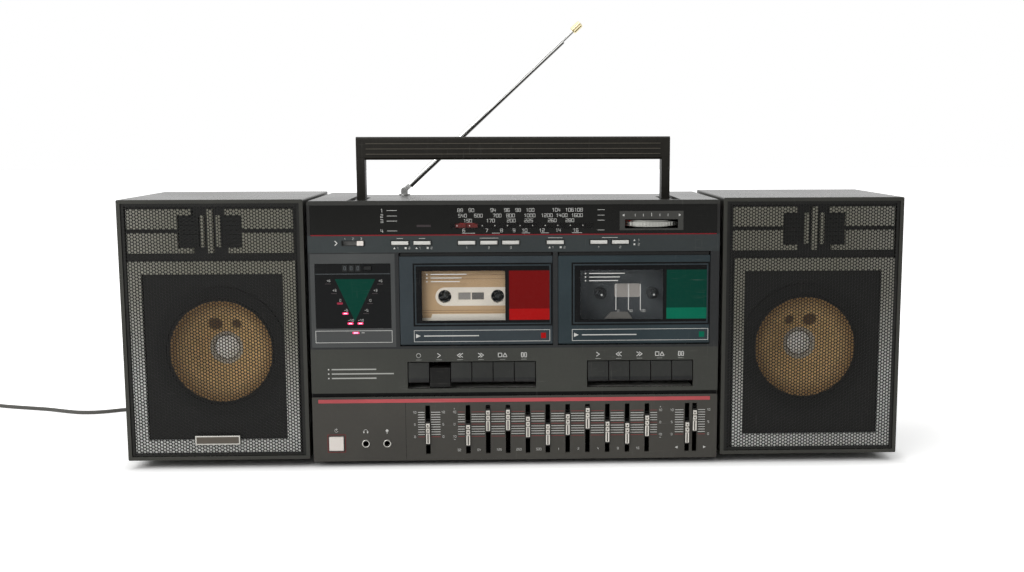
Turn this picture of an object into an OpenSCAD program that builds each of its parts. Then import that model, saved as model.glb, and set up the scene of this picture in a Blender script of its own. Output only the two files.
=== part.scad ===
// Portable radio cassette recorder: a centre unit with two tape decks, a tuner and a graphic
// equaliser, and a lift-off loudspeaker on each side.
// Millimetres. X runs to the right, Y away from the user and Z up from the table.

/* [Centre unit] */
// Housing to the left of the level meter
left_margin = 4; // [3:0.5:8]
// Width of the level meter
meter_w = 62.6; // [56:0.2:70]
// Housing between the meter and the left door
meter_gap = 5.4; // [5:0.2:9]
// Width of one cassette door
door_w = 121.9; // [118:0.1:136]
// Housing between the two doors
door_gap = 4.7; // [4.6:0.1:9]
// Housing to the right of the right door
right_margin = 7.5; // [7:0.5:12]
// Height of the equaliser panel
eq_zone_h = 53; // [51:0.5:64]
// Height of the groove above the equaliser
groove_h = 3; // [2:0.5:5]
// Height of the key panel
key_zone_h = 36; // [35:0.5:46]
// Height of the deck panel
deck_zone_h = 77.7; // [77:0.1:86]
// Height of the switch strip
strip_h = 13.5; // [12:0.5:18]
// Height of the dial panel
dial_zone_h = 27.3; // [26:0.1:36]
// Depth of the housing, front to back
body_d = 150; // [144:1:180]
// Depth of the front half of the housing
split_d = 52; // [51:1:54]
// Thickness of the front wall
front_t = 3.2; // [2.8:0.1:4]
// Thickness of the side, top and bottom walls
wall = 3; // [2.4:0.1:4]
// Thickness of the back wall
back_t = 5; // [4.6:0.1:7]
// Radius of the housing's long corners
corner_r = 1.5; // [1:0.5:6]
// Height of the feet
foot_h = 5; // [4:0.5:8]
// Radius of the feet
foot_r = 9; // [6:0.5:12]
// Depth of the shallow dip in the top
top_dip = 2; // [1:0.1:2.5]

/* [Tuner] */
// Height of the dial window
dial_h = 23.4; // [21:0.2:25]
// Thickness of the clear windows
window_t = 1.6; // [1.2:0.1:2]
// Radius of the tuning wheel
wheel_r = 30; // [28:0.5:34]
// Thickness of the tuning wheel
wheel_t = 5.2; // [4:0.1:6]
// Thickness of the wheel's knurled rim
rim_t = 3.2; // [2:0.1:4]
// Number of grips on the wheel's rim
wheel_grips = 72; // [48:4:96]
// Width of the dial pointer's flag
pointer_w = 17.4; // [12:0.2:20]
// Travel of the dial pointer
pointer_travel = 88; // [60:1:92]

/* [Tape decks] */
// Dark gap above a cassette door
door_top_gap = 3.5; // [3:0.1:5]
// Thickness of a cassette door
door_t = 4.4; // [4:0.1:5]
// Width of a cassette
cassette_w = 100.4; // [99:0.1:102]
// Height of a cassette
cassette_h = 63.8; // [63:0.1:65]
// Thickness of a cassette
cassette_t = 8.7; // [8:0.1:9]
// Thickness of a cassette at its head end
cassette_head_t = 12; // [11:0.1:12.4]
// Distance between a cassette's hubs
hub_pitch = 42.5; // [42:0.1:43]
// Height of the hubs above a cassette's head end
hub_rise = 29.5; // [28:0.1:31]
// Radius of a deck spindle
spindle_r = 2.4; // [2:0.1:2.8]

/* [Controls] */
// Pitch of the tape keys
key_pitch = 17.08; // [15:0.02:17.4]
// Height of a tape key
key_h = 16; // [13:0.5:17]
// Drop of a pressed tape key
key_travel = 4.3; // [3:0.1:4.6]
// Distance from a key's face to its pivot
key_arm = 46; // [42:1:47]
// Width of a push button
button_w = 13.2; // [10:0.2:13.6]
// Height of a push button
button_h = 2.8; // [2.4:0.1:3.6]
// Travel of a push button
button_travel = 3; // [2:0.1:4]
// Width of a slider's blade
slider_w = 3; // [2.4:0.1:3.4]
// Height of a slider's blade
slider_h = 19; // [14:0.5:19.5]
// Travel of a slider
slider_travel = 20.4; // [14:0.2:20.4]
// Pitch of the equaliser sliders
eq_pitch = 16.16; // [12:0.02:16.6]
// Side of the square power button
power_side = 11.4; // [9:0.2:13]
// Radius of a jack socket's bore
jack_r = 1.8; // [1.3:0.05:3.2]

/* [Handle] */
// Outer width of the handle
handle_w = 261; // [220:1:270]
// Height of the handle above the housing
handle_rise = 49.8; // [44:0.2:60]
// Height of the grip
grip_h = 18.9; // [14:0.1:20]
// Depth of the grip
grip_d = 14.2; // [12:0.2:16]
// Width of the handle's arms
arm_w = 7; // [6:0.2:9]
// Depth of the handle's arms
arm_d = 14; // [10:0.5:14]

/* [Aerial] */
// Radius of the aerial's outer tube
tube_r = 2.8; // [2.4:0.1:3]
// Length from the tilt pivot to the tube's end
tube_len = 191.9; // [150:0.2:210]
// Radius of the sliding rod
rod_r = 1.6; // [1.2:0.1:2]
// Rod standing out of the tube
rod_out = 22.4; // [14:0.2:30]
// Lean of the aerial above level, in degrees
lean = 42.8; // [30:0.1:60]

/* [Loudspeakers] */
// Width of a cabinet
speaker_w = 145.5; // [138:0.5:180]
// Height of a cabinet
speaker_h = 209.5; // [204:0.5:240]
// Gap between a cabinet and the centre unit
speaker_gap = 2.9; // [1:0.1:4]
// Height of a cabinet's underside above the housing's
speaker_lift = 2.4; // [0:0.1:5]
// Thickness of a cabinet's walls
cabinet_wall = 4; // [3:0.1:6]
// Width of the rim around the grille
rim_w = 3; // [2:0.1:5]
// Radius of a cabinet's long corners
cabinet_corner_r = 1; // [0.5:0.5:3]
// Radius of the loudspeaker cone
cone_r = 40; // [32:0.5:44]
// Depth of the loudspeaker cone
cone_d = 24; // [16:0.5:28]
// Height of the cone's centre above the cabinet's underside
cone_rise = 88; // [80:0.5:110]
// Shift of the cone towards the centre unit
cone_shift = 4; // [0:0.5:6]
// Radius of a grille hole
hole_r = 2.2; // [1.4:0.1:2.6]
// Pitch of the grille holes
hole_pitch = 7; // [6:0.1:9]
// Thickness of the grille
grille_t = 0.8; // [0.6:0.1:1.2]

/* [Batteries] */
// Length of one cell
cell_len = 61.5; // [50:0.5:62]
// Diameter of one cell
cell_d = 33.2; // [26:0.1:34.2]
// Thickness of the battery cover
cover_t = 2.6; // [2:0.1:3]

/* [Mains lead] */
// Diameter of the lead
cord_d = 3.6; // [3:0.1:3.8]
// Loops in each layer of the coil
loops_per_layer = 2; // [1:1:2]
// Radius of the coil's outer loops
coil_r = 26; // [24:0.5:28]

/* [Clearances] */
// Gap between pieces that move past each other
gap = 0.4; // [0.3:0.05:0.5]
// Radial gap of a pin in its bore
pin_gap = 0.05; // [0.02:0.01:0.1]

/* [Hidden] */
$fn = 48;

// The furthest that any control stands out of the front
proud = 3;
front_y = (proud - body_d) / 2;
centre_w = left_margin + meter_w + meter_gap + 2 * door_w + door_gap + right_margin;
half_w = centre_w / 2;
eq_top = foot_h + eq_zone_h;
key_zone_z = eq_top + groove_h;
deck_zone_z = key_zone_z + key_zone_h;
strip_z = deck_zone_z + deck_zone_h;
dial_zone_z = strip_z + strip_h;
top_z = dial_zone_z + dial_zone_h;
top_wall = wall + top_dip;
rim_front = 3;
foot_inset = [30, 34];

// Tuner
dial_x = half_w - 2.5;
dial_z = dial_zone_z + 0.2;
wheel_inset = 54.9;
wheel_x = half_w - wheel_inset;
wheel_y = wheel_r - proud;
wheel_z = dial_z + 8;
wheel_slot_w = 42.4;
axle_r = 2;
thick_r = wheel_r - 4;
pointer_x = -38.2;
pointer_z = dial_z + 7;
pointer_h = 3;
rail_z = pointer_z + 5.6;
rail_s = 2;
rail_y = 5;
carriage_w = 12;
slot_x0 = pointer_x - pointer_w / 2 - 1.5;
slot_x1 = pointer_x + pointer_travel + pointer_w / 2 + 1.5;

// Meter
meter_x = -half_w + left_margin;
meter_win_x = [meter_x + 1.1, meter_x + meter_w - 1.7];
meter_win_z = [deck_zone_z + 17, strip_z - 8.9];
reset_w = 5.6;
reset_h = 3.2;
reset_stand = 1.6;
reset_inset = 41.8;
reset_drop = 3.6;
reset_x = meter_win_x[0] + reset_inset;
reset_z = meter_win_z[1] - reset_drop;

// Tape decks, left then right
door_lift = 2.5;
door_x = [meter_x + meter_w + meter_gap, meter_x + meter_w + meter_gap + door_w + door_gap];
door_z = deck_zone_z + door_lift;
door_h = strip_z - door_top_gap - door_z;
hinge_r = door_t / 2;
door_pin_r = 1.2;
door_pin_len = (door_gap - 2 * gap) / 2 - 0.25;
tape_shift = -4.2;
tape_x = [for (x = door_x) x + door_w / 2 + tape_shift];
tape_z = deck_zone_z + 11.8;
hub_z = tape_z + hub_rise;
tape_y = door_t + gap + cassette_head_t / 2;
head_end_w = [71, 63];
head_end_h = 15.3;
hub_hole_r = 5.4;
guide_x = 25;
tape_window_w = 21.2;
pane_inset = [11.8, 1.2];
pane_rise = 19.3;
pane_drop = 10.1;
pane_ledge = 2.6;
plate_y = tape_y + 13.3;
plate_t = 2;
post_z = deck_zone_z - 4;
spindle_tip_y = tape_y - 1.2;

// Tape keys
key_w = key_pitch - 0.7;
key_z = key_zone_z + 8.5;
key_pivot_z = key_z + key_h * 0.56;
key_shaft_r = 1.5;
key_inset = [5.5, 23.5];
key_count = [6, 5];
key_x = [door_x[0] + key_inset[0], door_x[1] + key_inset[1]];
key_angle = asin(key_travel / key_arm);

// Switch strip
button_z = strip_z + 7.4;
button_x = [-91, -73.5, -38.2, -20.6, -3.2, 32.2, 67, 84.2];
band_slot_x = [-136.7, -119.4];
button_stand = 2.2;
band_knob_w = 5.1;
band_stand = 1.8;
band_slot_h = 4.4;

// Equaliser panel
slider_mid = foot_h + 25.4;
eq_first_x = -38.8;
eq_x = [for (k = [0:9]) eq_first_x + eq_pitch * k];
mic_inset = 92.7;
mic_x = -half_w + mic_inset;
volume_inset = [24.5, 18.4];
volume_x = [for (i = volume_inset) half_w - i];
slider_rest = [-2.6, -4.2, 7.6, 8.1, 2.2, -4.4, 3.8, 8.8, -2.6, -4, 2.1, -3.9, 6.1];
slider_x = concat([mic_x], eq_x, volume_x);
power_inset = 18.8;
power_x = -half_w + power_inset;
power_z = foot_h + 14.7;
power_stand = 1.8;
jack_inset = [42.4, 59.6];
jack_x = [for (i = jack_inset) -half_w + i];
jack_z = foot_h + 14.5;
jack_len = 14;

// Handle
handle_y = split_d + 13;
pivot_z = top_z - 7;
handle_pin_r = 3;
handle_pin_len = 2;
pocket_wall = 2.4;
pocket_len = 35;
arm_x = handle_w / 2 - arm_w / 2;
dip_x = handle_w / 2 + 2.5;

// Aerial
aerial_x = -97.1;
aerial_y = body_d - 12;
tilt_z = top_z + 2.4;
swivel_r = 5;
swivel_pin_r = 3;
swivel_pin_len = wall + 4;
tilt_pin_r = 1.4;
tang_t = 2.6;
cheek_t = 1.6;
cheek_r = 2.8;
tang_r = 2.5;
tang_len = 9;
tube_start = 7;
bore_start = 14;
tip_r = 3.2;
tip_h = 9.6;

// Loudspeakers
speaker_z = foot_h + speaker_lift;
speaker_x = half_w + speaker_gap;
cone_x = speaker_x + speaker_w / 2 - cone_shift;
cone_z = speaker_z + cone_rise;
grille_y = 2;
ledge_w = 2.4;
baffle_y = 6;
baffle_t = 4;
flange_t = 2.5;
flange_r = cone_r + 12;
basket_r = cone_r + 4;
basket_rim = 9;
basket_d = cone_d + 10;
magnet_r = cone_r * 0.72;
magnet_t = 16;
dome_r = cone_r * 0.23;
dome_h = 4;
surround_h = 3.6;
stud_r = 3;
stud_head_r = 6;
stud_y = body_d * 2 / 3;
stud_inset = 50;
stud_z = [speaker_z + stud_inset, speaker_z + speaker_h - stud_inset];
unhook = 14;

// Battery bay
bay_w = 4 * cell_len + 12;
bay_h = 2 * cell_d + 2;
bay_d = cell_d + 3;
bay_z = foot_h + 16;
bay_y = body_d - back_t - bay_d;
bay_wall = 2.4;
cover_w = bay_w + 7;
cover_z = bay_z - 3;
cover_top = bay_z + bay_h + 4;
cover_axis_y = body_d - 1.1;
cover_round = 1;
cover_pin_r = 0.8;
cover_pin_len = 2.2;

// Mains lead: where it leaves, and its route along the table
relief_x = -148;
relief_z = foot_h + 29;
relief_len = 26;
cord_r = cord_d / 2;
floor_z = cord_r + 0.1;
ROUTE = [
    [-148, 176, 34], [-148, 180, 34], [-148, 184, 34], [-148.6, 191, 32.7], [-150, 199, 28.8], [-153, 208, 21],
    [-158, 217, 11.5], [-167, 225, 4.5], [-180, 231, 1.9], [-200, 236, 1.9], [-230, 240, 1.9],
    [-265, 242, 1.9], [-300, 242, 1.9], [-335, 240, 1.9], [-362, 236, 1.9], [-381, 230, 1.9],
    [-394, 223, 1.9], [-407, 219, 1.9], [-422, 220, 1.9], [-438, 227, 1.9], [-456, 236, 1.9],
    [-476, 243, 1.9], [-496, 250, 1.9], [-514, 258, 1.9], [-527, 265.5, 1.9], [-535, 272.2, 1.9],
    [-540.2, 281.2, 1.9], [-542, 291.5, 1.9], [-542, 297.5, 1.9], [-542, 303.5, 1.9]
];
coil_layers = 4;
coil_step = cord_d + 1;
layer_step = cord_d + 0.8;
coil_start = ROUTE[len(ROUTE) - 1];
coil_at = [coil_start[0] - coil_r, coil_start[1] + cord_d, floor_z];
coil_turns = coil_layers * loops_per_layer + (coil_layers - 1) / 2;
rings_per_loop = 24;
TAIL = [
    [-0.6, -8, -0.2], [-1.6, -18, -2], [-2.6, -28, -5.4], [-3.2, -38, -8], [-3.4, -48, -8.6], [-3.4, -54, -8.6]
];
plug_l = 36;
plug_w = 25;
plug_t = 12;
plug_neck = 8;
plug_pin_x = 9.5;
plug_pin_r = 2;
plug_pin_len = 19;

// Boxes, outlines and rods given by the spans that they fill

module block(x, y, z) {
    translate([x[0], y[0], z[0]])
        cube([x[1] - x[0], y[1] - y[0], z[1] - z[0]]);
}

module place() {
    translate([0, front_y, 0])
        children();
}

module upright(y0, y1) {
    translate([0, y1, 0])
        rotate([90, 0, 0])
            linear_extrude(y1 - y0)
                children();
}

module along_x(x0, x1) {
    translate([x0, 0, 0])
        rotate([90, 0, 90])
            linear_extrude(x1 - x0)
                children();
}

module rect(x, z) {
    translate([x[0], z[0]])
        square([x[1] - x[0], z[1] - z[0]]);
}

module round_rect(x, z, r) {
    rect([x[0] + r, x[1] - r], z);
    rect(x, [z[0] + r, z[1] - r]);
    for (cx = [x[0] + r, x[1] - r])
        for (cz = [z[0] + r, z[1] - r])
            translate([cx, cz])
                circle(r = r);
}

module x_rod(x, y, z, r) {
    translate([x[0], y, z])
        rotate([0, 90, 0])
            cylinder(h = x[1] - x[0], r = r);
}

module y_rod(x, y, z, r) {
    translate([x, y[0], z])
        rotate([-90, 0, 0])
            cylinder(h = y[1] - y[0], r = r);
}

module z_rod(x, y, z, r) {
    translate([x, y, z[0]])
        cylinder(h = z[1] - z[0], r = r);
}

module both_sides() {
    children();
    mirror([1, 0, 0])
        children();
}

// Centre unit housing

module outline() {
    round_rect([-half_w, half_w], [foot_h, top_z], corner_r);
}

module cavity_outline() {
    rect([-half_w + wall, half_w - wall], [foot_h + wall, top_z - top_wall]);
}

module button_outline(x, z, w, h) {
    rect([x - w / 2, x + w / 2], [z - h / 2, z + h / 2]);
}

module wheel_slot() {
    button_outline(wheel_x, wheel_z, wheel_slot_w, wheel_t + 2);
}

module slider_slots() {
    reach = slider_travel / 2 + slider_h / 2 + gap;
    for (x = slider_x)
        rect([x - slider_w / 2 - gap, x + slider_w / 2 + gap], [slider_mid - reach, slider_mid + reach]);
}

module front_openings() {
    for (d = [0, 1]) {
        rect([door_x[d] - gap, door_x[d] + door_w + gap], [door_z - gap, strip_z - 0.4]);
        rect([key_x[d] - gap, key_x[d] + key_count[d] * key_pitch + gap],
             [key_z - key_travel - 2 * gap, key_z + key_h + 2 * gap]);
    }
    for (x = button_x)
        button_outline(x, button_z, button_w + 2 * gap, button_h + 2 * gap);
    rect(band_slot_x, [button_z - band_slot_h / 2, button_z + band_slot_h / 2]);
    button_outline(power_x, power_z, power_side + 2 * gap, power_side + 2 * gap);
    button_outline(reset_x, reset_z, reset_w + 2 * gap, reset_h + 2 * gap);
    wheel_slot();
    slider_slots();
}

module dip(y0, y1) {
    block([-dip_x, dip_x], [y0, y1], [top_z - top_dip, top_z + 1]);
}

module foot(y) {
    for (x = [-half_w + foot_inset[0], half_w - foot_inset[0]])
        translate([x, y, 0])
            rotate_extrude()
                polygon([[0, 0], [foot_r - 1, 0], [foot_r, 1], [foot_r, foot_h + 0.5], [0, foot_h + 0.5]]);
}

module door_ears() {
    ear_z = [door_z - gap - 3, door_z + hinge_r + 4];
    block([door_x[0] - gap - 3.4, door_x[0] - gap], [0, door_t + 2], ear_z);
    block([door_x[0] + door_w + gap, door_x[1] - gap], [0, door_t + 2], ear_z);
    block([door_x[1] + door_w + gap, half_w - 1], [0, door_t + 2], ear_z);
}

module door_bores() {
    for (d = [0, 1])
        for (x = [door_x[d], door_x[d] + door_w])
            x_rod([x - door_pin_len - 2 * gap, x + door_pin_len + 2 * gap], hinge_r, door_z + hinge_r,
                  door_pin_r + pin_gap);
}

module deck_posts() {
    for (x = [door_x[0] + 12, door_x[1] - 2, door_x[1] + door_w - 12])
        y_rod(x, [front_t - 0.5, plate_y], post_z, 3);
    for (x = [door_x[0] - meter_gap / 2, half_w - wall - 0.6])
        y_rod(x, [front_t - 0.5, plate_y], strip_z - 10, 2);
}

module jack_bosses() {
    for (x = jack_x) {
        y_rod(x, [-0.8, front_t], jack_z, jack_r + 1.35);
        y_rod(x, [front_t - 0.5, jack_len], jack_z, jack_r + 2.6);
    }
}

module pointer_rail() {
    x0 = slot_x0 - 8;
    x1 = slot_x1 + 8;
    block([x0, x1], [rail_y, rail_y + rail_s], [rail_z - rail_s / 2, rail_z + rail_s / 2]);
    for (x = [x0, x1 - 3])
        block([x, x + 3], [front_t - 0.5, rail_y + rail_s], [rail_z - rail_s / 2, rail_z + rail_s / 2]);
}

module front_case() {
    color([0.16, 0.17, 0.17])
    place()
    difference() {
        union() {
            upright(0, front_t)
                difference() {
                    outline();
                    front_openings();
                    rect([-half_w - 1, half_w + 1], [eq_top, key_zone_z]);
                    rect([-dial_x - 0.15, dial_x + 0.15], [dial_z - 0.15, dial_z + dial_h + 0.15]);
                    rect([meter_win_x[0] - 0.15, meter_win_x[1] + 0.15],
                         [meter_win_z[0] - 0.15, meter_win_z[1] + 0.15]);
                }
            upright(window_t, front_t)
                difference() {
                    outline();
                    front_openings();
                    rect([slot_x0 - 3, slot_x1 + 3], [pointer_z - 3, pointer_z + 3]);
                }
            upright(window_t, split_d)
                difference() {
                    outline();
                    cavity_outline();
                }
            door_ears();
            deck_posts();
            jack_bosses();
            pointer_rail();
            z_rod(wheel_x, wheel_y, [wheel_z - wheel_t, top_z - top_wall + 1], axle_r);
            foot(foot_inset[1]);
        }
        dip(rim_front, split_d + 1);
        door_bores();
        for (x = jack_x)
            y_rod(x, [-2, jack_len + 1], jack_z, jack_r);
    }
}

module handle_pocket_shell() {
    r = arm_d / 2 + gap;
    block([arm_x - arm_w / 2 - gap - pocket_wall, arm_x + arm_w / 2 + gap + pocket_wall],
          [handle_y - r - pocket_wall, handle_y + pocket_len + pocket_wall],
          [pivot_z - r - pocket_wall, top_z - top_dip]);
}

module handle_pocket() {
    r = arm_d / 2 + gap;
    block([arm_x - arm_w / 2 - gap, arm_x + arm_w / 2 + gap],
          [handle_y - r, handle_y + pocket_len],
          [pivot_z - r, top_z + 1]);
    reach = arm_w / 2 + gap + handle_pin_len;
    x_rod([arm_x - reach, arm_x + reach], handle_y, pivot_z, handle_pin_r + pin_gap);
}

module speaker_studs() {
    head_x = speaker_x + cabinet_wall + gap;
    for (z = stud_z) {
        x_rod([half_w - 1, head_x + 2], stud_y, z, stud_r);
        x_rod([head_x, head_x + 2], stud_y, z, stud_head_r);
    }
}

module battery_bay_shell() {
    block([-bay_w / 2 - bay_wall, bay_w / 2 + bay_wall],
          [bay_y - bay_wall, body_d - back_t + 0.5],
          [bay_z - bay_wall, bay_z + bay_h + bay_wall]);
}

module battery_bay() {
    block([-bay_w / 2, bay_w / 2], [bay_y, body_d + 1], [bay_z, bay_z + bay_h]);
    block([-cover_w / 2 - gap, cover_w / 2 + gap],
          [body_d - cover_t - 0.4, body_d + 1],
          [cover_z - cover_round - gap, cover_top + gap]);
    reach = cover_w / 2 + cover_pin_len + gap;
    x_rod([-reach, reach], cover_axis_y, cover_z, cover_pin_r + pin_gap);
}

module rear_case() {
    color([0.13, 0.13, 0.14])
    place()
    difference() {
        union() {
            upright(split_d, body_d)
                difference() {
                    outline();
                    cavity_outline();
                }
            upright(body_d - back_t, body_d)
                outline();
            battery_bay_shell();
            both_sides() {
                handle_pocket_shell();
                speaker_studs();
            }
            z_rod(aerial_x, aerial_y, [top_z - top_dip - swivel_pin_len - 2, top_z - top_dip], swivel_r + 1);
            foot(body_d - foot_inset[1]);
        }
        battery_bay();
        both_sides()
            handle_pocket();
        dip(split_d - 1, body_d + 1);
        z_rod(aerial_x, aerial_y, [top_z - top_dip - swivel_pin_len - 0.5, top_z], swivel_pin_r + pin_gap);
        y_rod(relief_x, [body_d - back_t - 1, body_d + 1], relief_z, cord_r + 2.2 + pin_gap);
    }
}

module dial_window() {
    color([0.05, 0.05, 0.06])
    place()
    upright(0, window_t)
        difference() {
            rect([-dial_x, dial_x], [dial_z, dial_z + dial_h]);
            wheel_slot();
        }
}

module meter_window() {
    color([0.06, 0.06, 0.08])
    place()
    upright(0, window_t)
        difference() {
            rect(meter_win_x, meter_win_z);
            button_outline(reset_x, reset_z, reset_w + 2 * gap, reset_h + 2 * gap);
        }
}

module battery_cover() {
    color([0.12, 0.12, 0.13])
    place()
    difference() {
        union() {
            block([-cover_w / 2, cover_w / 2], [body_d - cover_t, body_d], [cover_z, cover_top]);
            x_rod([-cover_w / 2, cover_w / 2], cover_axis_y, cover_z, cover_round);
            x_rod([-cover_w / 2 - cover_pin_len, cover_w / 2 + cover_pin_len], cover_axis_y, cover_z,
                  cover_pin_r);
        }
        for (k = [0:3])
            block([-14, 14], [body_d - 0.8, body_d + 1], [cover_top - 6 - 3 * k, cover_top - 4.8 - 3 * k]);
    }
}

// Handle and aerial

module handle_arm() {
    block([arm_x - arm_w / 2, arm_x + arm_w / 2],
          [handle_y - arm_d / 2, handle_y + arm_d / 2],
          [pivot_z, top_z + handle_rise - grip_h / 2]);
    x_rod([arm_x - arm_w / 2, arm_x + arm_w / 2], handle_y, pivot_z, arm_d / 2);
    reach = arm_w / 2 + handle_pin_len - 0.2;
    x_rod([arm_x - reach, arm_x + reach], handle_y, pivot_z, handle_pin_r);
}

module handle() {
    grip_z = top_z + handle_rise - grip_h;
    rib = 0.6;
    color([0.1, 0.1, 0.1])
    place() {
        along_x(-handle_w / 2, handle_w / 2)
            round_rect([handle_y - grip_d / 2, handle_y + grip_d / 2], [grip_z, grip_z + grip_h], 2.5);
        for (k = [0:2])
            block([-handle_w / 2 + 8, handle_w / 2 - 8],
                  [handle_y - grip_d / 2 - rib, handle_y + grip_d / 2 + rib],
                  [grip_z + 4 + 4.3 * k, grip_z + 5 + 4.3 * k]);
        both_sides()
            handle_arm();
    }
}

module aerial_swivel() {
    cheek_y = tang_t / 2 + gap;
    plate_z = tilt_z - cheek_r - 0.3;
    color([0.75, 0.76, 0.78])
    place()
    translate([aerial_x, aerial_y, 0]) {
        z_rod(0, 0, [top_z - top_dip - swivel_pin_len, plate_z], swivel_pin_r);
        z_rod(0, 0, [top_z - top_dip + 0.3, plate_z], swivel_r);
        for (s = [-1, 1])
            translate([0, s * (cheek_y + cheek_t / 2), 0]) {
                y_rod(0, [-cheek_t / 2, cheek_t / 2], tilt_z, cheek_r);
                block([-cheek_r, cheek_r], [-cheek_t / 2, cheek_t / 2], [tilt_z - cheek_r - 0.6, tilt_z]);
            }
        y_rod(0, [-cheek_y - cheek_t, cheek_y + cheek_t], tilt_z, tilt_pin_r);
    }
}

module leaning() {
    translate([aerial_x, front_y + aerial_y, tilt_z])
        rotate([0, 90 - lean, 0])
            children();
}

module aerial_tube() {
    color([0.8, 0.81, 0.83])
    leaning()
    difference() {
        union() {
            y_rod(0, [-tang_t / 2, tang_t / 2], 0, tang_r);
            block([-2, 2], [-tang_t / 2, tang_t / 2], [0, tang_len]);
            z_rod(0, 0, [tube_start, tube_len], tube_r);
            translate([0, 0, tube_len])
                rotate_extrude()
                    polygon([[0, -1], [tube_r, -1], [tube_r, 0], [tube_r - 0.6, 0.8], [0, 0.8]]);
        }
        y_rod(0, [-tang_t, tang_t], 0, tilt_pin_r + pin_gap);
        z_rod(0, 0, [bore_start, tube_len + 2], rod_r + pin_gap);
    }
}

module aerial_rod() {
    color([0.85, 0.84, 0.78])
    leaning() {
        z_rod(0, 0, [bore_start + 2, tube_len + rod_out - tip_h / 2], rod_r);
        translate([0, 0, tube_len + rod_out - tip_h])
            rotate_extrude()
                polygon([[0, 0], [tip_r - 0.6, 0], [tip_r, 0.6], [tip_r, tip_h - 1], [tip_r - 0.8, tip_h],
                         [0, tip_h]]);
    }
}

// Tuner

module tuning_wheel() {
    knurl = 0.25;
    color([0.72, 0.73, 0.74])
    place()
    translate([wheel_x, wheel_y, wheel_z])
    difference() {
        union() {
            translate([0, 0, -rim_t / 2])
                linear_extrude(rim_t)
                    polygon([for (k = [0:2 * wheel_grips - 1])
                        (wheel_r - (k % 2) * knurl) * [cos(180 * k / wheel_grips), sin(180 * k / wheel_grips)]]);
            z_rod(0, 0, [-wheel_t / 2, wheel_t / 2], thick_r);
        }
        z_rod(0, 0, [-wheel_t, wheel_t], axle_r + pin_gap);
    }
}

module dial_pointer() {
    ring = rail_s / 2 + gap;
    color([0.75, 0.1, 0.08])
    place()
    difference() {
        union() {
            block([pointer_x - pointer_w / 2, pointer_x + pointer_w / 2],
                  [window_t + gap, window_t + gap + 0.8],
                  [pointer_z - pointer_h / 2, pointer_z + pointer_h / 2]);
            block([pointer_x - 2, pointer_x + 2],
                  [window_t + gap, rail_y + rail_s + gap + 1.4],
                  [pointer_z - pointer_h / 2, pointer_z + pointer_h / 2]);
            block([pointer_x - carriage_w / 2, pointer_x + carriage_w / 2],
                  [rail_y - gap - 1, rail_y + rail_s + gap + 1.4],
                  [pointer_z - pointer_h / 2, rail_z + ring + 1.2]);
        }
        block([pointer_x - carriage_w, pointer_x + carriage_w],
              [rail_y - gap, rail_y + rail_s + gap],
              [rail_z - ring, rail_z + ring]);
    }
}

// Tape decks

module door_frame(x, c) {
    win_x = [x + pane_inset[0], x + door_w - pane_inset[1]];
    win_z = [deck_zone_z + pane_rise, strip_z - pane_drop];
    pocket_x = cassette_w / 2 + gap;
    rail_t = 2.4;
    lip_y = tape_y + cassette_t / 2 + gap;
    ledge_z = tape_z - gap;
    difference() {
        union() {
            upright(0, door_t)
                difference() {
                    rect([x, x + door_w], [door_z + hinge_r, door_z + door_h]);
                    rect([win_x[0] + pane_ledge, win_x[1] - pane_ledge],
                         [win_z[0] + pane_ledge, win_z[1] - pane_ledge]);
                }
            x_rod([x, x + door_w], hinge_r, door_z + hinge_r, hinge_r);
            x_rod([x - gap - door_pin_len, x + door_w + gap + door_pin_len], hinge_r, door_z + hinge_r,
                  door_pin_r);
            block([c - pocket_x - rail_t, c + pocket_x + rail_t], [door_t - 0.5, lip_y + 3.4],
                  [ledge_z - 2.4, ledge_z]);
            for (s = [-1, 1]) {
                side = c + s * (pocket_x + rail_t / 2);
                inner = c + s * (pocket_x - 1.6);
                block([side - rail_t / 2, side + rail_t / 2], [door_t - 0.5, lip_y + 1.6],
                      [ledge_z - 1, door_z + door_h - 6]);
                block([inner - 2.2, inner + 2.2], [lip_y, lip_y + 1.6], [ledge_z + 22, door_z + door_h - 6]);
            }
        }
        upright(-1, window_t)
            rect([win_x[0] - 0.1, win_x[1] + 0.1], [win_z[0] - 0.1, win_z[1] + 0.1]);
    }
    upright(0, window_t)
        rect(win_x, win_z);
}

module cassette_door(d) {
    color([0.24, 0.27, 0.29])
    place()
        door_frame(door_x[d], tape_x[d]);
}

module cassette() {
    c = tape_x[0];
    w = cassette_w / 2;
    base = tape_z + 0.2;
    color([0.78, 0.68, 0.54])
    place()
    difference() {
        union() {
            upright(tape_y - cassette_t / 2, tape_y + cassette_t / 2)
                round_rect([c - w, c + w], [tape_z, tape_z + cassette_h], 2.5);
            upright(tape_y - cassette_head_t / 2, tape_y + cassette_head_t / 2)
                polygon([[c - head_end_w[0] / 2, base], [c + head_end_w[0] / 2, base],
                         [c + head_end_w[1] / 2, base + head_end_h], [c - head_end_w[1] / 2, base + head_end_h]]);
        }
        for (s = [-1, 1]) {
            y_rod(c + s * hub_pitch / 2, [0, 2 * tape_y], hub_z, hub_hole_r);
            block([c + s * guide_x - 3, c + s * guide_x + 3], [tape_y - 2.6, tape_y + 2.6],
                  [tape_z - 1, tape_z + 4]);
        }
        block([c - 10.5, c + 10.5], [tape_y - 2.6, tape_y + 2.6], [tape_z - 1, tape_z + 6]);
        block([c - tape_window_w / 2, c + tape_window_w / 2], [0, tape_y - cassette_t / 2 + 0.8],
              [hub_z - 3, hub_z + 3.4]);
    }
}

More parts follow.
